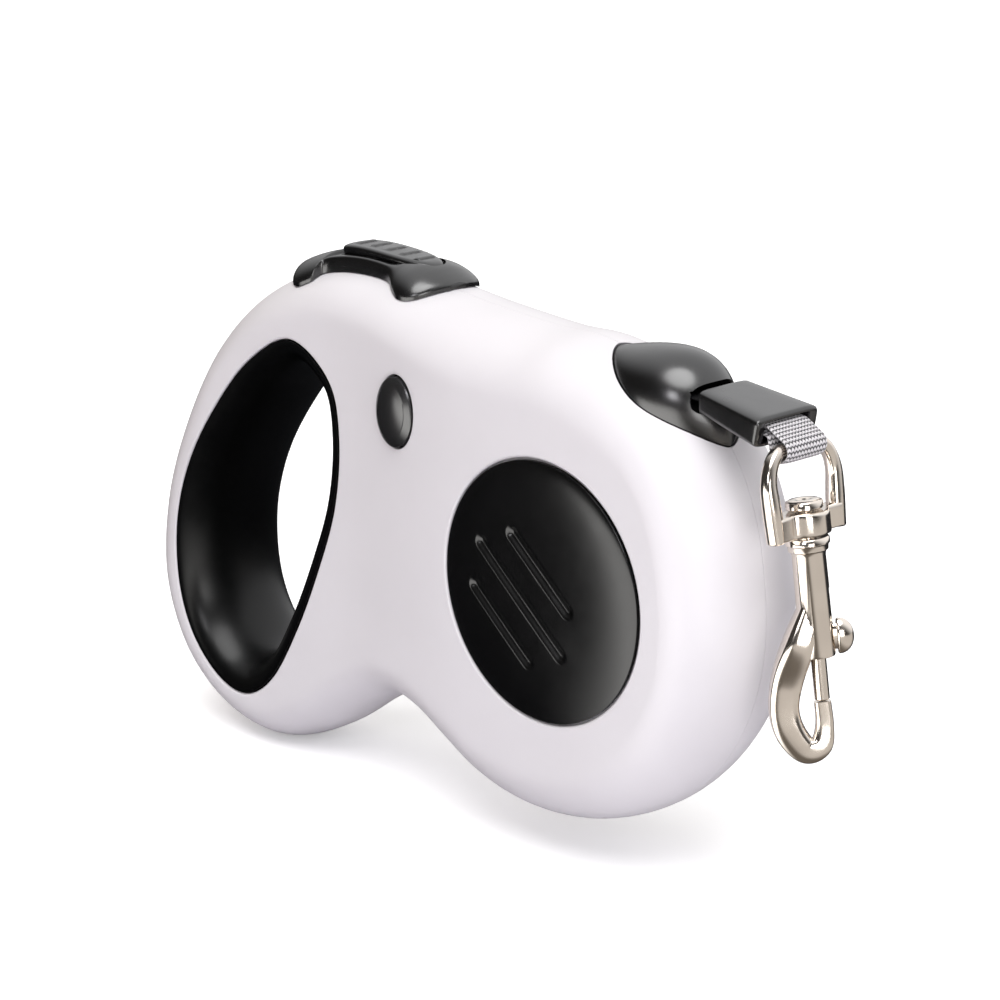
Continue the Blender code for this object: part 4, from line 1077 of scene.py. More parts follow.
    def changes(self, side: Side) -> list[tuple[Cut, Surface]]:
        """What is joined to one half and cut from it.

        Args:
            side: Which half.

        Returns:
            The forms in order, with what to do.
        """
        seat = self.form.half_reel - self.form.cover_seat
        radius, low, high = self.socket
        middle = np.zeros(2)
        joined = [self.post(middle, radius, low, high)]
        boss, boss_low = self.pivot_boss
        joined.append(self.post(self.pivot, boss, boss_low, self.boss_end(self.pivot, boss)))
        removed = [self.sunk(self.form.opening(), self.form.half_handle / 2, self.lip)]
        removed.append(self.sunk(oval(1.0, 1.0, 240) * (self.form.cover_radius + RUN_GAP), seat, self.lip))
        removed.append(self.post(middle, self.socket_bore, low - 1.0, high - 0.6))
        removed.append(self.post(self.pivot, *self.pivot_hole))
        for place in self.screw_places():
            reach = self.boss_end(place, self.boss_radius)
            joined.append(self.post(place, self.boss_radius, self.seam, reach))
            removed.append(self.post(place, self.hole_radius, -1.0, self.hole_end, 24))
            if side is Side.LEFT:
                removed.append(self.post(place, self.sink_radius, self.sink_y, self.outside))
        if side is Side.RIGHT:
            half = (size + RUN_GAP for size in self.form.lock_half)
            lock = swung(oval(*half, 160), self.form.lock_lean_deg) + self.form.lock_centre
            removed.append(self.sunk(lock, self.lock_floor, self.lock_lip_share * self.lip))
        made = [(Cut.JOIN, shape.on(side)) for shape in joined]
        made += [(Cut.REMOVE, shape.on(side)) for shape in removed]
        stem_x = self.form.stem_x
        top = float(self.form.ridge_height(stem_x))
        half_x, half_y = (size + RUN_GAP for size in self.form.stem_half)
        low_corner = (stem_x - half_x, -half_y, top - self.stem_reach)
        stem = Surface.block(low_corner, (stem_x + half_x, half_y, top + self.stem_reach))
        return [*made, (Cut.REMOVE, self.tape.nose(FIT_GAP)), (Cut.REMOVE, stem)]

    def make(self) -> None:
        """Build both halves."""
        for name, side in (("right_shell", Side.RIGHT), ("left_shell", Side.LEFT)):
            shell = self.shop.build(f"{name}_skin", self.half().on(side))
            self.shop.carve(shell, self.changes(side))
            self.shop.fit(shell, WHITE_PLASTIC, Body.CASE, name)


@dataclass
class GripLiner:
    """The soft black lining of the finger opening."""

    shop: Workshop
    form: CaseForm
    swell: float = 8.0
    wall: float = 2.0

    def make(self) -> None:
        """Build the band: half an ellipse carried round the opening's edge, with a second one inside."""
        loop = self.form.opening()
        inward = inward_normals(loop)
        half = self.form.half_thickness(loop[:, 0])
        rings = []
        faces = ((0.0, np.linspace(-90.0, 90.0, 49)), (self.wall, np.linspace(90.0, -90.0, 17)))
        for wall, bend in faces:
            angle = np.radians(bend)[:, None]
            inset = FIT_GAP + (self.swell - wall - FIT_GAP) * np.cos(angle)
            plan = loop + inward * inset[..., None]
            rings.append(raised(plan, (half - wall) * np.sin(angle)))
        liner = self.shop.build("grip_liner_band", Surface.grid(np.concatenate(rings), wrap_rows=True))
        self.shop.fit(liner, BLACK_RUBBER, Body.CASE, "grip_liner")


@dataclass
class SideCovers:
    """The domed round covers with three slanting grooves each."""

    shop: Workshop
    form: CaseForm
    steps: int = 320
    rows: int = 110
    groove_tilt_deg: float = -39.7
    groove_width: float = 3.4
    groove_depth: float = 0.9
    groove_pitch: float = 9.2
    groove_middle: float = -4.2
    groove_shift: float = -2.2
    groove_lengths: Triple = (25.0, 35.0, 25.0)

    def groove_at(self, plan: Array) -> Array:
        """Depth of the grooves: each sinks with its distance from a middle line, to a round bottom.

        Args:
            plan: Places as x and z.

        Returns:
            The depth at each.
        """
        along = polar(1.0, self.groove_tilt_deg)
        across = np.array((-along[1], along[0]))
        run = plan @ along - self.groove_shift
        depth = np.zeros(plan.shape[:-1])
        for row, length in zip((1, 0, -1), self.groove_lengths):
            off = plan @ across - self.groove_middle - row * self.groove_pitch
            past = np.maximum(np.abs(run) - (length - self.groove_width) / 2, 0.0)
            gap = np.hypot(off, past) / (self.groove_width / 2)
            depth = np.maximum(depth, self.groove_depth * (1.0 - smoothstep(gap, 0.25, 1.15)))
        return depth

    def disc(self) -> Surface:
        """The cover: rings from the hidden middle out to the rim, and back in over the dome.

        The dome's height is the rise times a power of one less the fourth power of the radius share,
        less the grooves.

        Returns:
            The closed surface, as made for the left.
        """
        radius, face = self.form.cover_radius, self.form.half_reel
        low = face - self.form.cover_seat + FIT_GAP
        rim = [(radius - 0.6, low), (radius, low + 0.5), (radius, face - 0.3)]
        under = [(0.0, low), (radius - 4.0, low), *rim]
        share = 1.0 - np.linspace(0.0, 1.0, self.rows) ** 1.4
        rise = self.form.cover_rise * (1.0 - share**4) ** 0.7
        over = np.stack([share * radius, face + rise], axis=1)
        profile = np.concatenate([under, over])
        plan = oval(profile[:, 0], profile[:, 0], self.steps)
        height = np.broadcast_to(profile[:, 1, None], plan.shape[:2]).copy()
        height[len(under) :] -= self.groove_at(plan[len(under) :])
        return Surface.grid(raised(plan, height))

    def make(self) -> None:
        """Build both covers."""
        for name, side in (("right_cover", Side.RIGHT), ("left_cover", Side.LEFT)):
            cover = self.shop.build(f"{name}_dome", self.disc().on(side), 40.0)
            self.shop.fit(cover, BLACK_PLASTIC, Body.CASE, name)


@dataclass
class CaseScrews:
    """The five case screws, sunk in the left half, with a cross recess in each head."""

    shop: Workshop
    places: Array
    shank: float = 1.4
    head: float = 2.7
    head_height: float = 1.8
    seat: float = 7.3
    tip: float = -8.0
    recess: float = 0.9
    arm: Pair = (0.42, 1.7)

    def make(self) -> None:
        """Build each screw: a turned shank and head whose dome sinks where the cross is."""
        rim = self.seat + 0.5 * self.head_height
        share = 1.0 - np.linspace(0.0, 1.0, 40)
        dome = np.stack([share * self.head, rim + 0.5 * self.head_height * (1.0 - share**2.5)], axis=1)
        shaft = [(0.0, self.tip), (0.6, self.tip), (self.shank, self.tip + 1.2), (self.shank, self.seat)]
        profile = np.concatenate([shaft, [(self.head, self.seat)], dome])
        ring = oval(profile[:, 0], profile[:, 0], 72)
        narrow, wide = self.arm
        gap = np.minimum(
            np.maximum(np.abs(ring[..., 0]) - wide, np.abs(ring[..., 1]) - narrow),
            np.maximum(np.abs(ring[..., 1]) - wide, np.abs(ring[..., 0]) - narrow),
        )
        height = np.broadcast_to(profile[:, 1, None], ring.shape[:2]).copy()
        height[len(shaft) + 1 :] -= self.recess * (1.0 - smoothstep(gap[len(shaft) + 1 :], -0.12, 0.12))
        for number, place in enumerate(self.places, start=1):
            screw = self.shop.build(f"case_screw_{number}_cross", Surface.grid(raised(ring + place, height)))
            self.shop.fit(screw, STEEL, Body.CASE, f"case_screw_{number}")


# Brake and lock


@dataclass
class Brake:
    """The saddle on the handle's ridge, and the thumb pad that sinks into it."""

    shop: Workshop
    form: CaseForm
    stations: tuple[Triple, ...] = (
        (-97.0, 1.2, 0.5), (-96.0, 4.0, 1.9), (-93.6, 7.2, 2.7), (-90.5, 10.0, 2.9), (-87.5, 11.4, 3.0),
        (-85.2, 11.0, 3.0), (-83.6, 10.1, 3.0), (-82.8, 7.4, 3.0), (-79.0, 6.9, 3.1), (-70.0, 6.7, 3.1),
        (-63.5, 6.9, 3.0), (-60.0, 7.7, 3.1), (-57.0, 9.7, 3.4), (-53.5, 11.3, 3.5), (-50.5, 11.0, 3.0),
        (-48.3, 9.4, 2.2), (-46.6, 6.4, 1.4), (-45.4, 2.5, 0.7),
    )
    edge: float = 0.6
    rail_x: Pair = (-84.0, -60.0)
    pad_middle: float = -66.0
    pad_half: Pair = (14.5, 5.0)
    pad_tops: Pair = (5.25, 4.05)
    pad_round: float = 0.9
    pad_crown: float = 0.25
    travel: float = 2.6
    ribs: int = 5
    rib_pitch: float = 4.9
    rib_size: Triple = (1.7, 6.8, 0.36)
    stem_low: float = 47.3
    window_reach: float = 14.0

    def pad_low(self, x: Array) -> Array:
        """Height of the pad's underside at rest: over the ridge by its travel."""
        return self.form.ridge_height(x) + FIT_GAP + self.travel + 0.1

    def pad_top(self, x: Array) -> Array:
        """Height of the pad's top, which follows the ridge and falls a little towards the front.

        Args:
            x: Where to read it.

        Returns:
            z at each x, without crown and ribs.
        """
        share = (x - self.pad_middle) / (2 * self.pad_half[0]) + 0.5
        rear, front = self.pad_tops
        return self.form.ridge_height(x) + rear + (front - rear) * share

    def pad_ring(self, scale: Array, grow: float = 0.0) -> Array:
        """The pad's plan: round at the front and squarer at the rear.

        Args:
            scale: Size of each ring as a share of the full plan.
            grow: Clearance added all round.

        Returns:
            Rings of x and y.
        """
        half_x, half_y = (size + grow for size in self.pad_half)
        round_front = oval(half_x, half_y, 360, 2.5)
        square_rear = oval(half_x, half_y, 360, 5.0)
        plan = np.where(round_front[:, :1] > 0.0, round_front, square_rear)
        return np.multiply.outer(np.atleast_1d(scale), plan) + (self.pad_middle, 0.0)

    def saddle(self) -> Surface:
        """The saddle: at each station an arch over a seat that follows the case's ridge.

        The arch is the height times the root of one less a power of the width share. Along the rails the
        power is high and the arch level, which makes them square; at the lobes it is low and follows
        the seat, which makes them round.

        Returns:
            The closed surface.
        """
        track = catmull_rom(self.stations, 12, closed=False)
        x, half, height = (column[:, None] for column in track.T)
        rear, front = self.rail_x
        rail = smoothstep(x, rear, rear + 1.2) * (1.0 - smoothstep(x, front - 3.0, front + 3.0))
        power = 3.0 + 17.0 * rail
        spread = np.sin(np.linspace(-math.pi / 2, math.pi / 2, 65))[None, :]
        y = half * spread
        ridge = self.form.ridge_height(x) + FIT_GAP
        drop = self.form.ridge_drop(x, y)
        base = ridge - drop + rail * (drop - self.form.ridge_drop(x, half))
        crown = base + self.edge + height * np.sqrt(1.0 - np.abs(spread) ** power)
        seat = ridge - drop
        x = np.broadcast_to(x, y.shape)
        over = np.stack([x, y, crown], axis=-1)
        under = np.stack([x, y, seat], axis=-1)[:, ::-1]
        return Surface.grid(np.concatenate([over, under], axis=1), caps=True)

    def pad(self) -> Surface:
        """The pad: a rounded side, then a top along the ridge that arches across, with raised ribs.

        Rings of the plan shrink from the side to the middle. Each rib is half an ellipse across its
        width and fades at its ends.

        Returns:
            The closed surface.
        """
        across, rise = quarter(9)
        edge = 1.0 - across * self.pad_round / self.pad_half[1]
        inner = edge[-1] * (1.0 - np.linspace(0.0, 1.0, 90)[1:])
        scale = np.concatenate([[0.0, 0.97, 1.0], edge, inner])
        below = np.concatenate([np.zeros(3), self.pad_round * (1.0 - rise), np.zeros(89)])[:, None]
        plan = self.pad_ring(scale)
        x, y = plan[..., 0], plan[..., 1]
        width, length, tall = self.rib_size
        ends = (self.ribs - 1) / 2
        along = np.clip((x - self.pad_middle) / self.rib_pitch, -ends, ends)
        off = (x - self.pad_middle - np.round(along) * self.rib_pitch) / (width / 2)
        fade = 1.0 - smoothstep(np.abs(y), length / 2 - 1.4, length / 2)
        rib = tall * np.sqrt(np.clip(1.0 - off**2, 0.0, 1.0)) * fade
        crown = self.pad_crown * (1.0 - (y / self.pad_half[1]) ** 2)
        height = self.pad_top(x) - below + crown + rib * (scale < edge[-1])[:, None]
        height[:2] = self.pad_low(x[:2])
        height[2] = self.pad_low(x[2]) + 0.3
        return Surface.grid(np.stack([x, y, height], axis=-1))

    def make(self) -> None:
        """Build the saddle with its window, and the pad with its stem."""
        saddle = self.shop.build("brake_saddle", self.saddle(), 50.0)
        stem_x = self.form.stem_x
        top = float(self.pad_low(stem_x))
        ring = self.pad_ring(np.ones(1), RUN_GAP)[0]
        ends = (top - self.window_reach, top + self.window_reach)
        window = np.stack([np.insert(ring, 2, z, axis=1) for z in ends])
        self.shop.carve(saddle, [(Cut.REMOVE, Surface.grid(window, caps=True))], 50.0)
        self.shop.fit(saddle, GREY_PLASTIC, Body.CASE, "brake_base")
        pad = self.shop.build("brake_pad_ribbed", self.pad())
        half_x, half_y = self.form.stem_half
        low_corner = (stem_x - half_x, -half_y, self.stem_low)
        stem = Surface.block(low_corner, (stem_x + half_x, half_y, top + 0.8))
        self.shop.carve(pad, [(Cut.JOIN, stem)])
        self.shop.fit(pad, GREY_PLASTIC, Body.BRAKE_PAD, "brake_button")


@dataclass
class LockButton:
    """The oval lock button on the right side."""

    shop: Workshop
    form: CaseForm
    rise: float = 2.4
    lip: float = 1.4
    lip_wall: float = 1.2
    crease: float = 0.76

    def make(self) -> None:
        """Build the button: a hidden flange, a straight side, a bevel and a low dome over its oval plan."""
        centre, (half_x, half_z) = self.form.lock_centre, self.form.lock_half
        face = float(self.form.half_thickness(centre[0]))
        behind = centre[0] - half_x - self.lip
        flange = float(self.form.half_thickness(behind)) - self.form.wall - RUN_GAP
        grown = 1.0 + self.lip / half_x
        under = flange - self.lip_wall
        foot = [(0.0, under), (grown, under), (grown, flange), (1.0, flange)]
        slope = np.linspace(0.0, 1.0, 10)
        bevel = np.stack([1.0 - (1.0 - self.crease) * slope, 0.28 + 0.42 * slope**0.8], axis=1)
        share = (self.crease - 0.03) * (1.0 - np.linspace(0.0, 1.0, 40))
        dome = np.stack([share, 0.68 + 0.32 * (1.0 - (share / self.crease) ** 2)], axis=1)
        over = np.concatenate([bevel, dome]) * (1.0, self.rise) + (0.0, face)
        rows = np.concatenate([foot, [(1.0, face + 0.1)], over])
        rings = oval(rows[:, 0] * half_x, rows[:, 0] * half_z, 160)
        plan = swung(rings, self.form.lock_lean_deg) + centre
        button = self.shop.build("lock_button_dome", Surface.grid(raised(plan, -rows[:, 1, None])), 25.0)
        self.shop.fit(button, PAINTED_LIGHT_BUTTON, Body.SIDE_BUTTON, "lock_button")


# Nozzle, tape and sleeve


@dataclass
class Nozzle:
    """The leaf-shaped nose with its mouth and tape passage."""

    shop: Workshop
    tape: TapeForm
    slot_half: float = 1.6
    pin_ahead: float = 4.3
    pin_radius: float = 1.8
    pin_half: float = 9.5
    passage_length: float = 21.0
    passage_flare: Pair = (3.1, 2.9)
    recess: Pair = (1.6, 0.7)
    recess_depth: float = 4.6

    def make(self) -> None:
        """Build the nose and cut the mouth round the sleeve, the passage of the tape and the pin's seat."""
        form = self.tape
        nose = self.shop.build("nozzle_nose", form.nose(0.0, 96, 96), 50.0)
        rear_x, front_x = form.sleeve_x()
        exit_z = form.exit_z()
        wide = form.width / 2 + RUN_GAP
        pin_x = float(form.seat()[0]) + self.pin_ahead
        high, low = exit_z + self.slot_half, exit_z - self.slot_half
        back, ahead = pin_x - self.passage_length, rear_x + 2.0
        flare_up, flare_down = self.passage_flare
        outline = [
            (ahead, low), (ahead, high), (pin_x, high),
            (back, high + flare_up), (back, low - flare_down), (pin_x, low),
        ]
        passage = np.array(outline)
        mouth = oval(*np.add(form.sleeve_rear, self.recess), 160, 3.0)
        across, rise = quarter(10)
        x = np.append(rear_x - self.recess_depth * (1.0 - across), front_x)
        rings = np.multiply.outer(np.append(np.maximum(rise, 0.02), 1.0), mouth)
        middle = rings[..., 1] + form.sleeve_middle(x)[:, None]
        rings = np.stack([np.broadcast_to(x[:, None], middle.shape), rings[..., 0], middle], axis=-1)
        pin_z = exit_z - form.thickness / 2 - self.pin_radius
        pin = oval(self.pin_radius, self.pin_radius, 32) + (pin_x, pin_z)
        shapes = (
            Surface.upright(np.stack([passage, passage]), (-wide, wide)),
            Surface.grid(rings, caps=True),
            Surface.upright(np.stack([pin, pin]), (-self.pin_half, self.pin_half)),
        )
        self.shop.carve(nose, [(Cut.REMOVE, shape) for shape in shapes], 50.0)
        self.shop.fit(nose, GREY_PLASTIC, Body.CASE, "nozzle")


@dataclass
class TapeEnd:
    """The stopper sleeve, the webbing loop in it and the stretch of tape behind it."""

    shop: Workshop
    tape: TapeForm
    loop_insert: float = 8.0
    tape_insert: float = 5.0
    ply_spread: float = 0.95
    yarns: int = 13
    stitch: float = 0.98
    yarn_rise: float = 0.18
    roll: Pair = (0.4, 0.9)
    corner_power: float = 6.0

    def sleeve(self) -> Surface:
        """The sleeve: rounded rectangles that widen to the front, with rolled ends and a bore.

        Rings run from the rear along the outside to the front and back through the bore. They turn
        with the drooping axis, so that the front face stands square to it.

        Returns:
            The surface, closed like a ring.
        """
        form = self.tape
        rear_x, front_x = form.sleeve_x()
        across, rise = quarter(7)
        back, front = self.roll
        start = rear_x - 0.5 * FIT_GAP
        body = np.linspace(start + back, front_x - front, 24)
        x = np.concatenate([start + back * across, body, front_x - front * (1.0 - rise)])
        inset = np.concatenate([back * (1.0 - rise), np.zeros(24), front * across])
        share = ((x - rear_x) / form.sleeve_length)[:, None]
        half = np.array(form.sleeve_rear) * (1.0 - share) + np.array(form.sleeve_front) * share
        outer = oval(half[:, 0] - inset, half[:, 1] - inset, 160, self.corner_power)
        slit, mouth = form.thickness / 2 + RUN_GAP, form.sleeve_mouth
        bore_x = np.array((front_x - 0.25, front_x - 0.8, front_x - 6.0, rear_x + 1.0, rear_x + 0.1))
        bore_high = np.array((mouth + 0.3, mouth, 1.9, slit, slit))
        bore_wide = np.array((0.3, 0.0, 0.0, 0.0, 0.0)) + form.width / 2 + RUN_GAP
        rings = np.concatenate([outer, oval(bore_wide, bore_high, 160, 8.0)])
        place = np.concatenate([x, bore_x])[:, None]
        lean = (place - rear_x) * form.sleeve_drop / form.sleeve_length**2
        y, z = rings[..., 0], rings[..., 1]
        points = np.stack([place + lean * z, y, z + form.sleeve_middle(place)], axis=-1)
        return Surface.grid(points, wrap_rows=True)

    def yarn_height(self, across: Array, along: Array) -> Array:
        """Height of the weave from 0 to 1: columns of stitches that lean into rows of chevrons.

        Args:
            across: Places across the strip, from its middle.
            along: Places along it.

        Returns:
            The height at each place.
        """
        column = (across / self.tape.width + 0.5) * self.yarns
        number = np.floor(column)
        lean = np.abs(2.0 * (column - number) - 1.0)
        turn = along / self.stitch - 0.45 * lean
        ridge = 0.5 + 0.5 * np.cos(2 * math.pi * turn)
        return ridge**0.7 * np.sqrt(1.0 - lean**4)

    def webbing(self, path: Array, name: str) -> bpy.types.Object:
        """A woven strip along a side-view path: a flat oval section that swells with the yarns.

        Args:
            path: x and z of the strip's middle line.
            name: The piece's name.

        Returns:
            The strip, with its yarn height as an attribute of its points.
        """
        form = self.tape
        normal = side_normals(path)
        run = run_along(path)[:, None]
        spread = np.linspace(-1.0, 1.0, 12 * self.yarns + 1)[None, :]
        across = spread * form.width / 2 * 0.985
        body = (form.thickness / 2 - 0.12) * (1.0 - spread**10) ** 0.5
        face = self.yarn_height(across, run)
        back = self.yarn_height(across, run + 0.5 * self.stitch)
        fade = 1.0 - spread**6
        sides = []
        for sign, weave in ((1.0, face), (-1.0, back)):
            off = sign * (body + fade * self.yarn_rise * weave)
            plan = path[:, None] + off[..., None] * normal[:, None]
            sides.append(raised(plan, across))
        rings = np.concatenate([sides[0], sides[1][:, ::-1]], axis=1)
        height = np.concatenate([face, back[:, ::-1]], axis=1)
        return self.shop.build(name, Surface.grid(rings, caps=True), 60.0, height)

    def loop_path(self) -> Array:
        """The webbing's middle line: out of the sleeve on tangents to the snap's bar, round it and back.

        Returns:
            Points of x and z.
        """
        form = self.tape
        front_x = form.sleeve_x()[1]
        start_x = front_x - self.loop_insert
        bar = form.snap_bar()
        radius = form.bar_radius + FIT_GAP + 0.1 + form.thickness / 2
        ends = []
        for sign in (1.0, -1.0):
            inner = np.array((start_x, float(form.sleeve_middle(start_x)) + sign * 0.75 * self.ply_spread))
            outer = np.array((front_x, float(form.sleeve_middle(front_x)) + sign * self.ply_spread))
            away = outer - bar
            swing = math.acos(radius / np.linalg.norm(away))
            ends.append((inner, outer, math.degrees(math.atan2(away[1], away[0]) - sign * swing)))
        first, last = ends
        around = bar + polar(radius, np.linspace(first[2], last[2] - 360.0, 40))
        path = np.concatenate([[first[0], first[1]], around, [last[1], last[0]]])
        return resampled(path, 300, closed=False)

    def make(self) -> None:
        """Build the sleeve, the loop and the tape that runs from the nozzle into the sleeve."""
        form = self.tape
        sleeve = self.shop.build("tape_sleeve_shell", self.sleeve(), 45.0)
        self.shop.fit(sleeve, GREY_PLASTIC, Body.TAPE_END, "tape_sleeve")
        loop = self.webbing(self.loop_path(), "tape_end_webbing")
        self.shop.fit(loop, WEBBING, Body.TAPE_END, "tape_end_loop")
        rear_x = form.sleeve_x()[0]
        split = float(form.seat()[0]) + form.split_ahead + FIT_GAP
        x = np.linspace(split, rear_x + self.tape_insert, 60)
        run = self.webbing(np.stack([x, form.sleeve_middle(x)], axis=1), "tape_run_webbing")
        start, end = (np.array((at, 0.0, form.exit_z())) for at in (split + 0.3, rear_x - 0.3))
        self.shop.stretch(run, SHADE_DARK_TAPE, (Body.CASE, start), (Body.TAPE_END, end), "tape_run")


# Bolt snap


@dataclass
class BoltSnap:
    """The swivel eye, the hook under it and its sliding bolt, measured down from the webbing's bar."""

    shop: Workshop
    tape: TapeForm
    tilt_deg: float = 9.0
    turn_deg: float = 46.0
    half_width: float = 10.1
    leg_lean: float = 0.8
    leg_lap: float = 4.8
    corner: Pair = (5.0, 7.5)
    foot_radius: float = 2.0
    cross_top: float = 13.2
    cross_height: float = 5.0
    cross_half: float = 2.1
    boss_radius: float = 5.2
    stem_radius: float = 1.7
    rivet: Pair = (3.9, 2.1)
    collar: Pair = (4.6, 2.8)
    barrel: Pair = (3.5, 3.75)
    barrel_end: float = 43.7
    bolt_radius: float = 1.6
    bolt_top: float = 36.1
    bolt_end: float = 52.9
    travel: float = 6.0
    knob_reach: float = 7.7
    knob_height: float = 7.5
    knob_half: float = 2.0
    neck_half: float = 0.95
    hook_points: tuple[Triple, ...] = (
        (-0.6, 19.6, 2.5), (-3.3, 13.1, 3.3), (-6.4, 6.1, 3.35), (-8.0, -0.4, 3.15),
        (-7.3, -5.8, 3.15), (-4.4, -10.1, 2.8), (-1.1, -9.4, 2.35), (0.0, -5.2, 1.9),
    )
    hook_tip: float = 1.75
    hook_flatness: Pair = (0.8, 1.22)
    axes: dict[str, Array] = field(default_factory=dict)

    def __post_init__(self) -> None:
        """Work out the tilted axes of the eye and the turned axes of the hook."""
        tilt, turn = math.radians(self.tilt_deg), math.radians(self.turn_deg)
        ahead = np.array((math.cos(tilt), 0.0, math.sin(tilt)))
        left = np.array((0.0, 1.0, 0.0))
        up = np.array((-math.sin(tilt), 0.0, math.cos(tilt)))
        reach = math.cos(turn) * ahead + math.sin(turn) * left
        self.axes = {"eye": np.stack([ahead, left, up]), "hook": np.stack([reach, np.cross(up, reach), up])}

    def set_on(self, surface: Surface, part: str) -> Surface:
        """A surface laid along the axes of the eye or the hook, from the webbing's bar."""
        x, z = self.tape.snap_bar()
        return surface.set_along(np.array((x, 0.0, z)), self.axes[part])

    def bail(self) -> Surface:
        """The eye's bow: an oval bar up one leg, round two elliptical corners and down the other.

        Returns:
            The closed surface, stouter at its feet.
        """
        bend = np.radians(np.linspace(0.0, 90.0, 24))
        wide, tall = self.corner
        arc = np.stack([self.half_width - wide + wide * np.cos(bend), -tall + tall * np.sin(bend)], axis=1)
        foot = (self.half_width - self.leg_lean, -self.cross_top - self.leg_lap)
        leg = np.linspace(foot, (self.half_width, -tall), 20, endpoint=False)
        half = np.concatenate([leg, arc])
        path = np.concatenate([half, half[::-1] * (-1.0, 1.0)])
        thin = self.tape.bar_radius
        radius = thin + (self.foot_radius - thin) * smoothstep(-path[:, 1], 0.0, self.cross_top)
        ring = oval(radius, radius * 0.96, 40, 2.3)
        plan = path[:, None] + ring[..., 1:] * side_normals(path)[:, None]
        rings = np.stack([ring[..., 0], plan[..., 0], plan[..., 1]], axis=-1)
        return Surface.grid(self.rounded(rings), caps=True)

    def rounded(self, rings: Array, share: float = 0.82) -> Array:
        """Rings with a smaller ring just outside each end, which takes the edge off.

        Args:
            rings: Rings of points.
            share: Size of the added rings.

        Returns:
            The rings with one more at each end.
        """
        ends = []
        for end, inner in ((rings[0], rings[1]), (rings[-1], rings[-2])):
            middle = end.mean(axis=0)
            step = middle - inner.mean(axis=0)
            ends.append(middle + (end - middle) * share + 0.35 * step / np.linalg.norm(step))
        return np.concatenate([ends[0][None], rings, ends[1][None]])

    def crosspiece(self) -> Surface:
        """The band between the legs: a rounded bar that swells to a round boss at its middle.

        Returns:
            The closed surface.
        """
        reach = self.half_width - self.leg_lean
        y = reach * np.sin(np.linspace(-math.pi / 2, math.pi / 2, 81))
        boss = np.sqrt(np.clip(self.boss_radius**2 - y**2, 0.0, None))
        depth = np.maximum(boss, self.cross_half * (0.8 + 0.2 * (y / reach) ** 2))
        depth = np.convolve(np.pad(depth, 2, mode="edge"), np.full(5, 0.2), mode="valid")
        middle = -self.cross_top - self.cross_height / 2
        ring = oval(depth, np.full(len(y), self.cross_height / 2), 64, 9.0)
        return Surface.grid(raised(ring + (0.0, middle), y[:, None]), caps=True)

    def make_eye(self) -> None:
        """Build the eye with the stem's hole through its boss."""
        eye = self.shop.build("swivel_eye_cast", self.set_on(self.bail(), "eye"), 40.0)
        low, high = -self.cross_top - self.cross_height, -self.cross_top
        hole = self.stem_radius + FIT_GAP
        bore = Surface.turned([(hole, low - 3.0), (hole, high + 3.0)], 48)
        changes = [(Cut.JOIN, self.set_on(self.crosspiece(), "eye")), (Cut.REMOVE, self.set_on(bore, "eye"))]
        self.shop.carve(eye, changes, 40.0)
        self.shop.fit(eye, NICKEL, Body.EYE, "swivel_eye")

    def shaft(self) -> Surface:
        """The turned shaft: barrel, two-step collar, stem, and a rivet head with a dimple.

        Returns:
            The closed surface.
        """
        low, high = -self.cross_top - self.cross_height, -self.cross_top
        collar, deep = self.collar
        top = low - 0.2 - FIT_GAP
        step = top - deep
        end = -self.barrel_end
        rivet, tall = self.rivet
        head = high + FIT_GAP
        thin, stout = self.barrel
        profile = [
            (stout - 0.5, end), (stout - 0.15, end + 0.15), (stout, end + 0.6),
            (thin, step - 0.9), (thin + 0.15, step - 0.3), (collar - 0.75, step),
            (collar - 0.45, step + 0.12), (collar - 0.35, step + 1.1), (collar - 0.2, step + 1.25),
            (collar, step + 1.45), (collar, top - 0.3), (collar - 0.25, top), (self.stem_radius, top),
            (self.stem_radius, head), (rivet - 0.3, head), (rivet, head + 0.3), (rivet, head + 0.68 * tall),
            (rivet - 0.2, head + 0.84 * tall), (rivet - 0.75, head + 0.96 * tall), (0.5 * rivet, head + tall),
            (0.36 * rivet, head + 0.96 * tall), (0.24 * rivet, head + 0.82 * tall),
            (0.1 * rivet, head + 0.74 * tall),
        ]
        return Surface.turned(profile, 96)

    def bow(self) -> Surface:
        """The hook's bow: flattened ovals along a curve in its own plane, ending square under the bolt.

        Returns:
            The closed surface.
        """
        bend = [(reach, rise - self.bolt_end, radius) for reach, rise, radius in self.hook_points]
        tip = (0.0, -self.bolt_end - FIT_GAP, self.hook_tip)
        track = catmull_rom(np.array((*bend, tip)), 14, closed=False)
        path, radius = track[:, :2], track[:, 2]
        low, high = self.hook_flatness
        flat = low + (high - low) * smoothstep(path[:, 1], 3.0 - self.bolt_end, 13.0 - self.bolt_end)
        ring = oval(radius, radius * flat, 72, 3.6)
        plan = path[:, None] + ring[..., :1] * side_normals(path)[:, None]
        return Surface.grid(raised(plan, ring[..., 1]), caps=True)

    def bore_top(self) -> float:
        """Height at which the bolt's bore ends inside the barrel."""
        return self.travel + 1.6 - self.bolt_top

    def make_hook(self) -> None:
        """Build the hook body with the bolt's bore and the thumb knob's slot."""
        body = self.shop.build("hook_cast", self.set_on(self.shaft(), "hook"), 40.0)
        bore = self.bolt_radius + FIT_GAP
        slot = self.neck_half + FIT_GAP
        slot_top = -self.bolt_top + self.travel + 2 * FIT_GAP
        low = -self.barrel_end - 3.0
        shapes = [
            (Cut.JOIN, self.bow()),
            (Cut.REMOVE, Surface.turned([(bore, low), (bore, self.bore_top())], 48)),
            (Cut.REMOVE, Surface.block((0.0, -slot, low), (8.0, slot, slot_top))),
        ]
        self.shop.carve(body, [(cut, self.set_on(shape, "hook")) for cut, shape in shapes], 40.0)
        self.shop.fit(body, NICKEL, Body.HOOK, "hook_body")

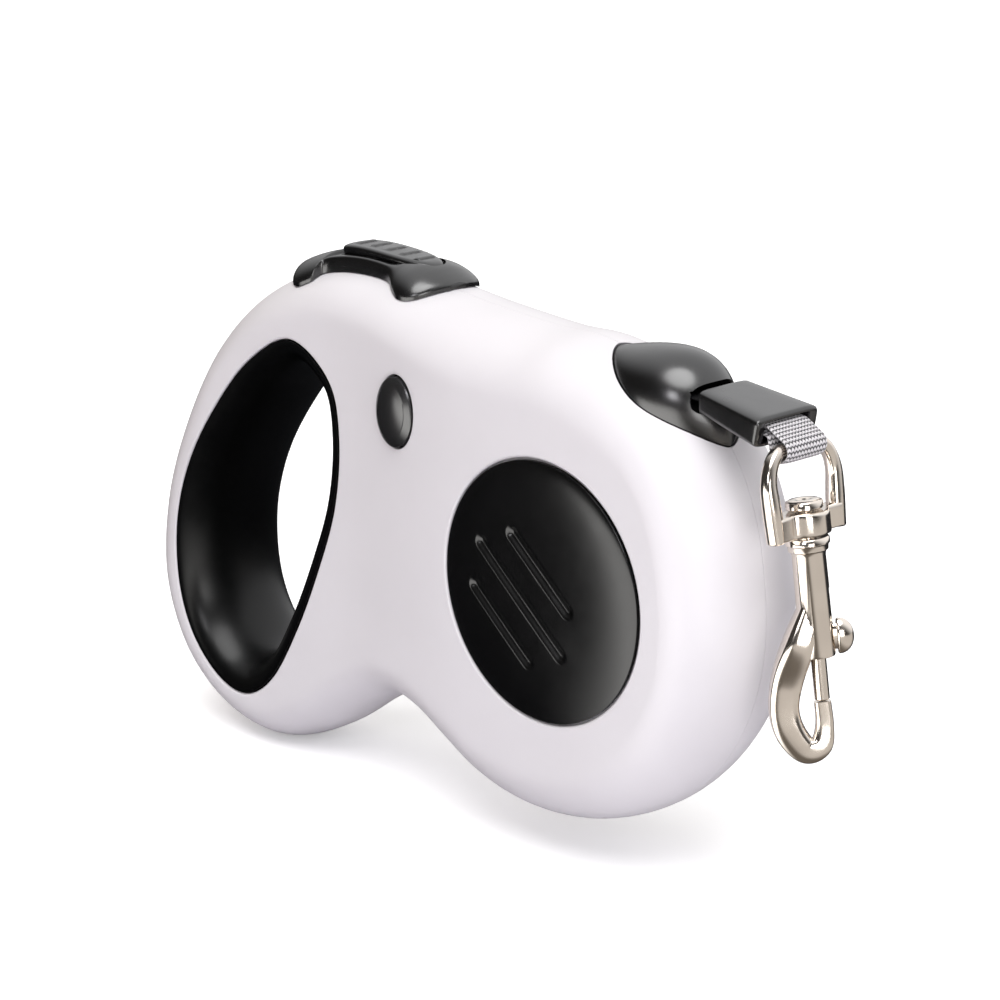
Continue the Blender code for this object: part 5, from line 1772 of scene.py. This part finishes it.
    def knob(self) -> Surface:
        """The thumb knob: a flat neck out through the slot, then a domed oval cap across its end.

        Returns:
            The closed surface.
        """
        neck = self.barrel[1] + RUN_GAP
        across, rise = quarter(12)
        wide, tall = self.knob_half, self.knob_height / 2
        rows = [(0.4, 0.92, tall - 1.0), (neck, 0.92, tall - 1.0), (neck, 0.9 * wide, tall - 0.25)]
        rows.append((neck + 0.25, wide, tall))
        reach = neck + 0.5 + (self.knob_reach - neck - 0.5) * rise
        dome = np.stack([reach, wide * (1.0 - across) + 0.01, tall * (1.0 - across) + 0.01], axis=1)
        table = np.concatenate([rows, dome])
        ring = oval(table[:, 1], table[:, 2], 64)
        middle = -self.bolt_top - tall
        out = np.broadcast_to(table[:, :1], ring.shape[:2])
        return Surface.grid(np.stack([out, ring[..., 0], ring[..., 1] + middle], axis=-1), caps=True)

    def make_bolt(self) -> None:
        """Build the sliding bolt and its thumb knob."""
        r = self.bolt_radius
        low, high = -self.bolt_end, -self.bolt_top
        profile = [(r - 0.3, low), (r, low + 0.3), (r, high - 0.3), (r - 0.3, high)]
        bolt = self.shop.build("hook_bolt_round", self.set_on(Surface.turned(profile, 56), "hook"), 40.0)
        self.shop.carve(bolt, [(Cut.JOIN, self.set_on(self.knob(), "hook"))], 40.0)
        self.shop.fit(bolt, NICKEL, Body.BOLT, "hook_bolt")

    def make(self) -> None:
        """Build the eye, the hook and the bolt."""
        self.make_eye()
        self.make_hook()
        self.make_bolt()


# Inside


@dataclass
class Springs:
    """The three return springs, each wound between the pieces that it pushes apart."""

    shop: Workshop
    snap: BoltSnap
    wire: float = 0.45
    bolt_spring: Pair = (1.1, 0.28)

    def coil(self, start: Array, end: Array, radius: float, wire: float, turns: int) -> Surface:
        """A round wire wound about the line from start to end, with its end turns closed up.

        Args:
            start: One end of the axis.
            end: The other end.
            radius: From the axis to the wire's middle.
            wire: Half the wire's thickness.
            turns: How often it goes round.

        Returns:
            The closed surface.
        """
        length = float(np.linalg.norm(end - start))
        axis = (end - start) / length
        side = np.cross(axis, (0.6, 0.5, 0.4))
        side /= np.linalg.norm(side)
        other = np.cross(axis, side)
        share = np.linspace(0.0, 1.0, turns * 32 + 1)[:, None]
        turn = 2 * math.pi * turns * share
        out = np.cos(turn) * side + np.sin(turn) * other
        rise = wire + (length - 2 * wire) * (0.5 * share + 0.5 * smoothstep(share, 0.0, 1.0))
        path = start + rise * axis + radius * out
        along = np.gradient(path, axis=0)
        across = np.cross(along / np.linalg.norm(along, axis=1)[:, None], out)
        ring = oval(wire, wire, 14)
        points = path[:, None] + ring[None, :, :1] * out[:, None] + ring[None, :, 1:] * across[:, None]
        return Surface.grid(points, caps=True)

    def add(self, name: str, still: Hold, moved: Hold, size: Pair, turns: int) -> None:
        """Wind a spring from the body that stays to the body that moves.

        Args:
            name: The frame's node that it replaces.
            still: The body that stays and the spring's end at it.
            moved: The body that moves and the spring's other end.
            size: The coil's radius and half the wire's thickness.
            turns: How often it goes round.
        """
        spring = self.shop.build(f"{name}_coil", self.coil(still[1], moved[1], *size, turns))
        self.shop.stretch(spring, STEEL, still, moved, name)

    def make(self) -> None:
        """Wind the brake's, the lock's and the bolt's spring."""
        upright = ("brake_spring", 2, Body.LEVER, 5)
        level = ("lock_spring", 1, Body.SIDE_BUTTON, 4)
        for name, axis, moving, turns in (upright, level):
            low, high = ((np.array(corner) - self.shop.axle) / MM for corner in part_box(name))
            middle, half = (low + high) / 2, (high - low) / 2
            reach = np.eye(3)[axis] * half[axis] * (1.0 if moving is Body.LEVER else -1.0)
            size = (float(half[0]) - self.wire, self.wire)
            self.add(name, (Body.CASE, middle - reach), (moving, middle + reach), size, turns)
        low = FIT_GAP - self.snap.bolt_top
        high = self.snap.bore_top() - FIT_GAP
        line = self.snap.set_on(Surface(np.array(((0.0, 0.0, low), (0.0, 0.0, high))), []), "hook").points
        self.add("hook_bolt_spring", (Body.HOOK, line[1]), (Body.BOLT, line[0]), self.bolt_spring, 5)


@dataclass
class Innards:
    """The frame's own pieces that stay, with their finishes."""

    finishes: dict[str, Finish] = field(
        default_factory=lambda: {
            "reel_axle": STEEL, "tape_guide_pin": STEEL, "brake_lever_pin": STEEL,
            "power_spring": STEEL, "spool": INNER_PLASTIC,
            "spring_cover": INNER_PLASTIC, "brake_lever": INNER_PLASTIC, "brake_shoe": BLACK_RUBBER,
            "tape_winding": SHADE_DARK_TAPE, "tape_lead": SHADE_DARK_TAPE,
        }
    )

    def dress(self) -> None:
        """Put a finish on each piece that stays."""
        for name, finish in self.finishes.items():
            finish.dress(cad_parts[name])
            log.info("%s keeps its solid, in %s", name, finish.slot)


# Studio


@dataclass
class Studio:
    """The camera of the photograph's view, a pale floor and soft light."""

    shop: Workshop
    azimuth_deg: float = 46.1
    elevation_deg: float = 16.2
    distance: float = 0.7
    focal_px: float = 3105.0
    image_px: float = 1000.0
    sensor: float = 36.0
    target_mm: Triple = (-33.9, 2.0, 9.4)
    card_edge: tuple[float, float, float, float] = (0.81, -0.58, 0.03, 0.10)
    card_dim: Pair = (0.03, 0.09)
    card_far: Pair = (0.13, 0.21)
    card_light: float = 3.4
    floor_half: float = 6.0
    floor_z: float = -0.0004
    floor_glow: float = 0.3
    bounce_x: Pair = (-0.32, -0.12)
    sun_power: float = 2.45
    sun_spread_deg: float = 46.0
    sun_from: Triple = (0.26, -0.34, 0.90)
    sky_light: float = 0.8

    def target(self) -> Vector:
        """The place that the camera and the lights face."""
        return Vector(self.shop.world(self.target_mm))

    def add_camera(self) -> None:
        """Put the camera on its line of sight, looking at the target."""
        a, e = math.radians(self.azimuth_deg), math.radians(self.elevation_deg)
        back = Vector((math.sin(a) * math.cos(e), -math.cos(a) * math.cos(e), math.sin(e)))
        data = bpy.data.cameras.new("camera")
        data.sensor_width = self.sensor
        data.lens = self.focal_px / self.image_px * self.sensor
        data.clip_end = 20.0
        camera = bpy.data.objects.new("camera", data)
        camera.location = self.target() + back * self.distance
        camera.rotation_euler = back.to_track_quat("Z", "Y").to_euler()
        bpy.context.scene.collection.objects.link(camera)
        bpy.context.scene.camera = camera

    def add_floor(self) -> None:
        """A wide pale floor just under the case. Gloss and plating see it as a dark table with a lit card."""
        mesh = bpy.data.meshes.new("floor")
        side = self.floor_half
        corners = [(-side, -side, 0.0), (side, -side, 0.0), (side, side, 0.0), (-side, side, 0.0)]
        mesh.from_pydata(corners, [], [(0, 1, 2, 3)])
        floor = bpy.data.objects.new("floor", mesh)
        floor.location.z = self.floor_z
        bpy.context.scene.collection.objects.link(floor)
        paper = Finish("floor", Effects.MOULDED, (0.93, 0.93, 0.935), (0.91, 0.91, 0.915), 0.9, 0.05, 0.02)
        material = paper.material()
        graph = Graph(material.node_tree)
        pale = material.node_tree.nodes["Principled BSDF"]
        pale.inputs["Emission Color"].default_value = (1.0, 1.0, 1.0, 1.0)
        pale.inputs["Emission Strength"].default_value = self.floor_glow
        x = graph.add("ShaderNodeSeparateXYZ", {0: graph.place()}).outputs[0]
        ahead = graph.remap(x, *self.bounce_x)
        tint = graph.mix(ahead, (0.40, 0.33, 0.25, 1.0), (0.75, 0.735, 0.78, 1.0))
        bounce = graph.add("ShaderNodeBsdfDiffuse", {"Color": tint}).outputs[0]
        rays = graph.add("ShaderNodeLightPath").outputs
        mirrored = self.lit_card(graph)
        unseen = graph.add("ShaderNodeMixShader", {0: rays["Is Glossy Ray"], 1: bounce, 2: mirrored})
        sorts = {0: rays["Is Camera Ray"], 1: unseen.outputs[0], 2: pale.outputs[0]}
        shown = graph.add("ShaderNodeMixShader", sorts).outputs[0]
        material.node_tree.links.new(shown, material.node_tree.nodes["Material Output"].inputs["Surface"])
        floor.data.materials.append(material)

    def lit_card(self, graph: Graph) -> bpy.types.NodeSocket:
        """What gloss and plating see of the floor: dark at the left, a lit card, a dim band and a paler side.

        Args:
            graph: The floor's node tree.

        Returns:
            The emission shader.
        """
        where = graph.add("ShaderNodeTexCoord").outputs["Object"]
        x, y, _ = graph.add("ShaderNodeSeparateXYZ", {0: where}).outputs
        along, across, low, high = self.card_edge
        slant = graph.math("ADD", graph.math("MULTIPLY", x, along), graph.math("MULTIPLY", y, across))
        ahead = graph.math("ADD", x, graph.math("MULTIPLY", y, 0.5))
        dim = graph.remap(ahead, *self.card_dim)
        card = graph.mix(dim, (1.0, 0.985, 0.96, 1.0), (0.05, 0.044, 0.038, 1.0))
        card = graph.mix(graph.remap(ahead, *self.card_far), card, (0.20, 0.19, 0.18, 1.0))
        colour = graph.mix(graph.remap(slant, low, high), (0.008, 0.008, 0.009, 1.0), card)
        return graph.add("ShaderNodeEmission", {"Color": colour, "Strength": self.card_light}).outputs[0]

    def add_area(self, name: str, place: Triple, size: Pair, power: float, colour: Colour) -> None:
        """A soft rectangular light that faces the target.

        Args:
            name: The light's name.
            place: Where it stands, in metres.
            size: Its width and height.
            power: Its power in watts.
            colour: Its colour.
        """
        data = bpy.data.lights.new(name, "AREA")
        data.shape = "RECTANGLE"
        data.size, data.size_y = size
        data.energy = power
        data.color = colour
        light = bpy.data.objects.new(name, data)
        light.location = place
        light.rotation_euler = (Vector(place) - self.target()).to_track_quat("Z", "Y").to_euler()
        bpy.context.scene.collection.objects.link(light)

    def add_light(self) -> None:
        """A soft sun overhead, a key box to the right, a weak fill near the camera, and a sky."""
        data = bpy.data.lights.new("sun", "SUN")
        data.energy = self.sun_power
        data.angle = math.radians(self.sun_spread_deg)
        sun = bpy.data.objects.new("sun", data)
        sun.rotation_euler = Vector(self.sun_from).to_track_quat("Z", "Y").to_euler()
        bpy.context.scene.collection.objects.link(sun)
        self.add_area("key_box", (0.80, -0.42, 0.20), (0.36, 0.30), 1.8, (1.0, 0.99, 0.985))
        self.add_area("fill_box", (0.37, -0.76, 0.46), (0.22, 0.22), 1.2, (0.97, 0.96, 1.0))
        self.add_sky()

    def add_sky(self) -> None:
        """A sky that is bright behind and above, warm at the left, dark in front, and pale to the camera."""
        world = bpy.data.worlds.new("sky")
        world.use_nodes = True
        graph = Graph(world.node_tree)
        where = graph.add("ShaderNodeTexCoord").outputs["Generated"]
        way = graph.add("ShaderNodeSeparateXYZ", {0: where}).outputs
        behind = graph.math("ADD", graph.math("MULTIPLY", way[1], 0.7), graph.math("MULTIPLY", way[2], 0.9))
        warm = graph.mix(graph.remap(way[0], -0.9, 0.3), (0.27, 0.21, 0.15, 1.0), (0.30, 0.30, 0.33, 1.0))
        rays = graph.add("ShaderNodeLightPath").outputs
        mirrored = rays["Is Glossy Ray"]
        front = graph.mix(mirrored, warm, (0.06, 0.056, 0.053, 1.0))
        left = graph.mix(graph.remap(way[0], -0.8, 0.2), (0.50, 0.42, 0.33, 1.0), (1.05, 1.05, 1.06, 1.0))
        above = graph.mix(mirrored, left, (1.5, 1.5, 1.52, 1.0))
        sky = graph.mix(graph.remap(behind, 0.1, 0.9), front, above)
        sky = graph.mix(rays["Is Camera Ray"], sky, (1.3, 1.3, 1.3, 1.0))
        shade = world.node_tree.nodes["Background"]
        world.node_tree.links.new(sky, shade.inputs["Color"])
        shade.inputs["Strength"].default_value = self.sky_light
        bpy.context.scene.world = world

    def make(self) -> None:
        """Set up the camera, the floor and the light."""
        self.add_camera()
        self.add_floor()
        self.add_light()
        bpy.context.scene.view_settings.view_transform = "Standard"


def main() -> None:
    """Build the studio and every piece, and report each one."""
    logging.basicConfig(level=logging.INFO, format="%(message)s")
    shop = Workshop()
    Studio(shop).make()
    form = CaseForm()
    tape = TapeForm(form)
    shells = CaseShells(shop, form, tape)
    shells.make()
    GripLiner(shop, form).make()
    SideCovers(shop, form).make()
    CaseScrews(shop, shells.screw_places()).make()
    Brake(shop, form).make()
    LockButton(shop, form).make()
    Nozzle(shop, tape).make()
    TapeEnd(shop, tape).make()
    snap = BoltSnap(shop, tape)
    snap.make()
    Springs(shop, snap).make()
    Innards().dress()


if __name__ == "__main__":
    main()
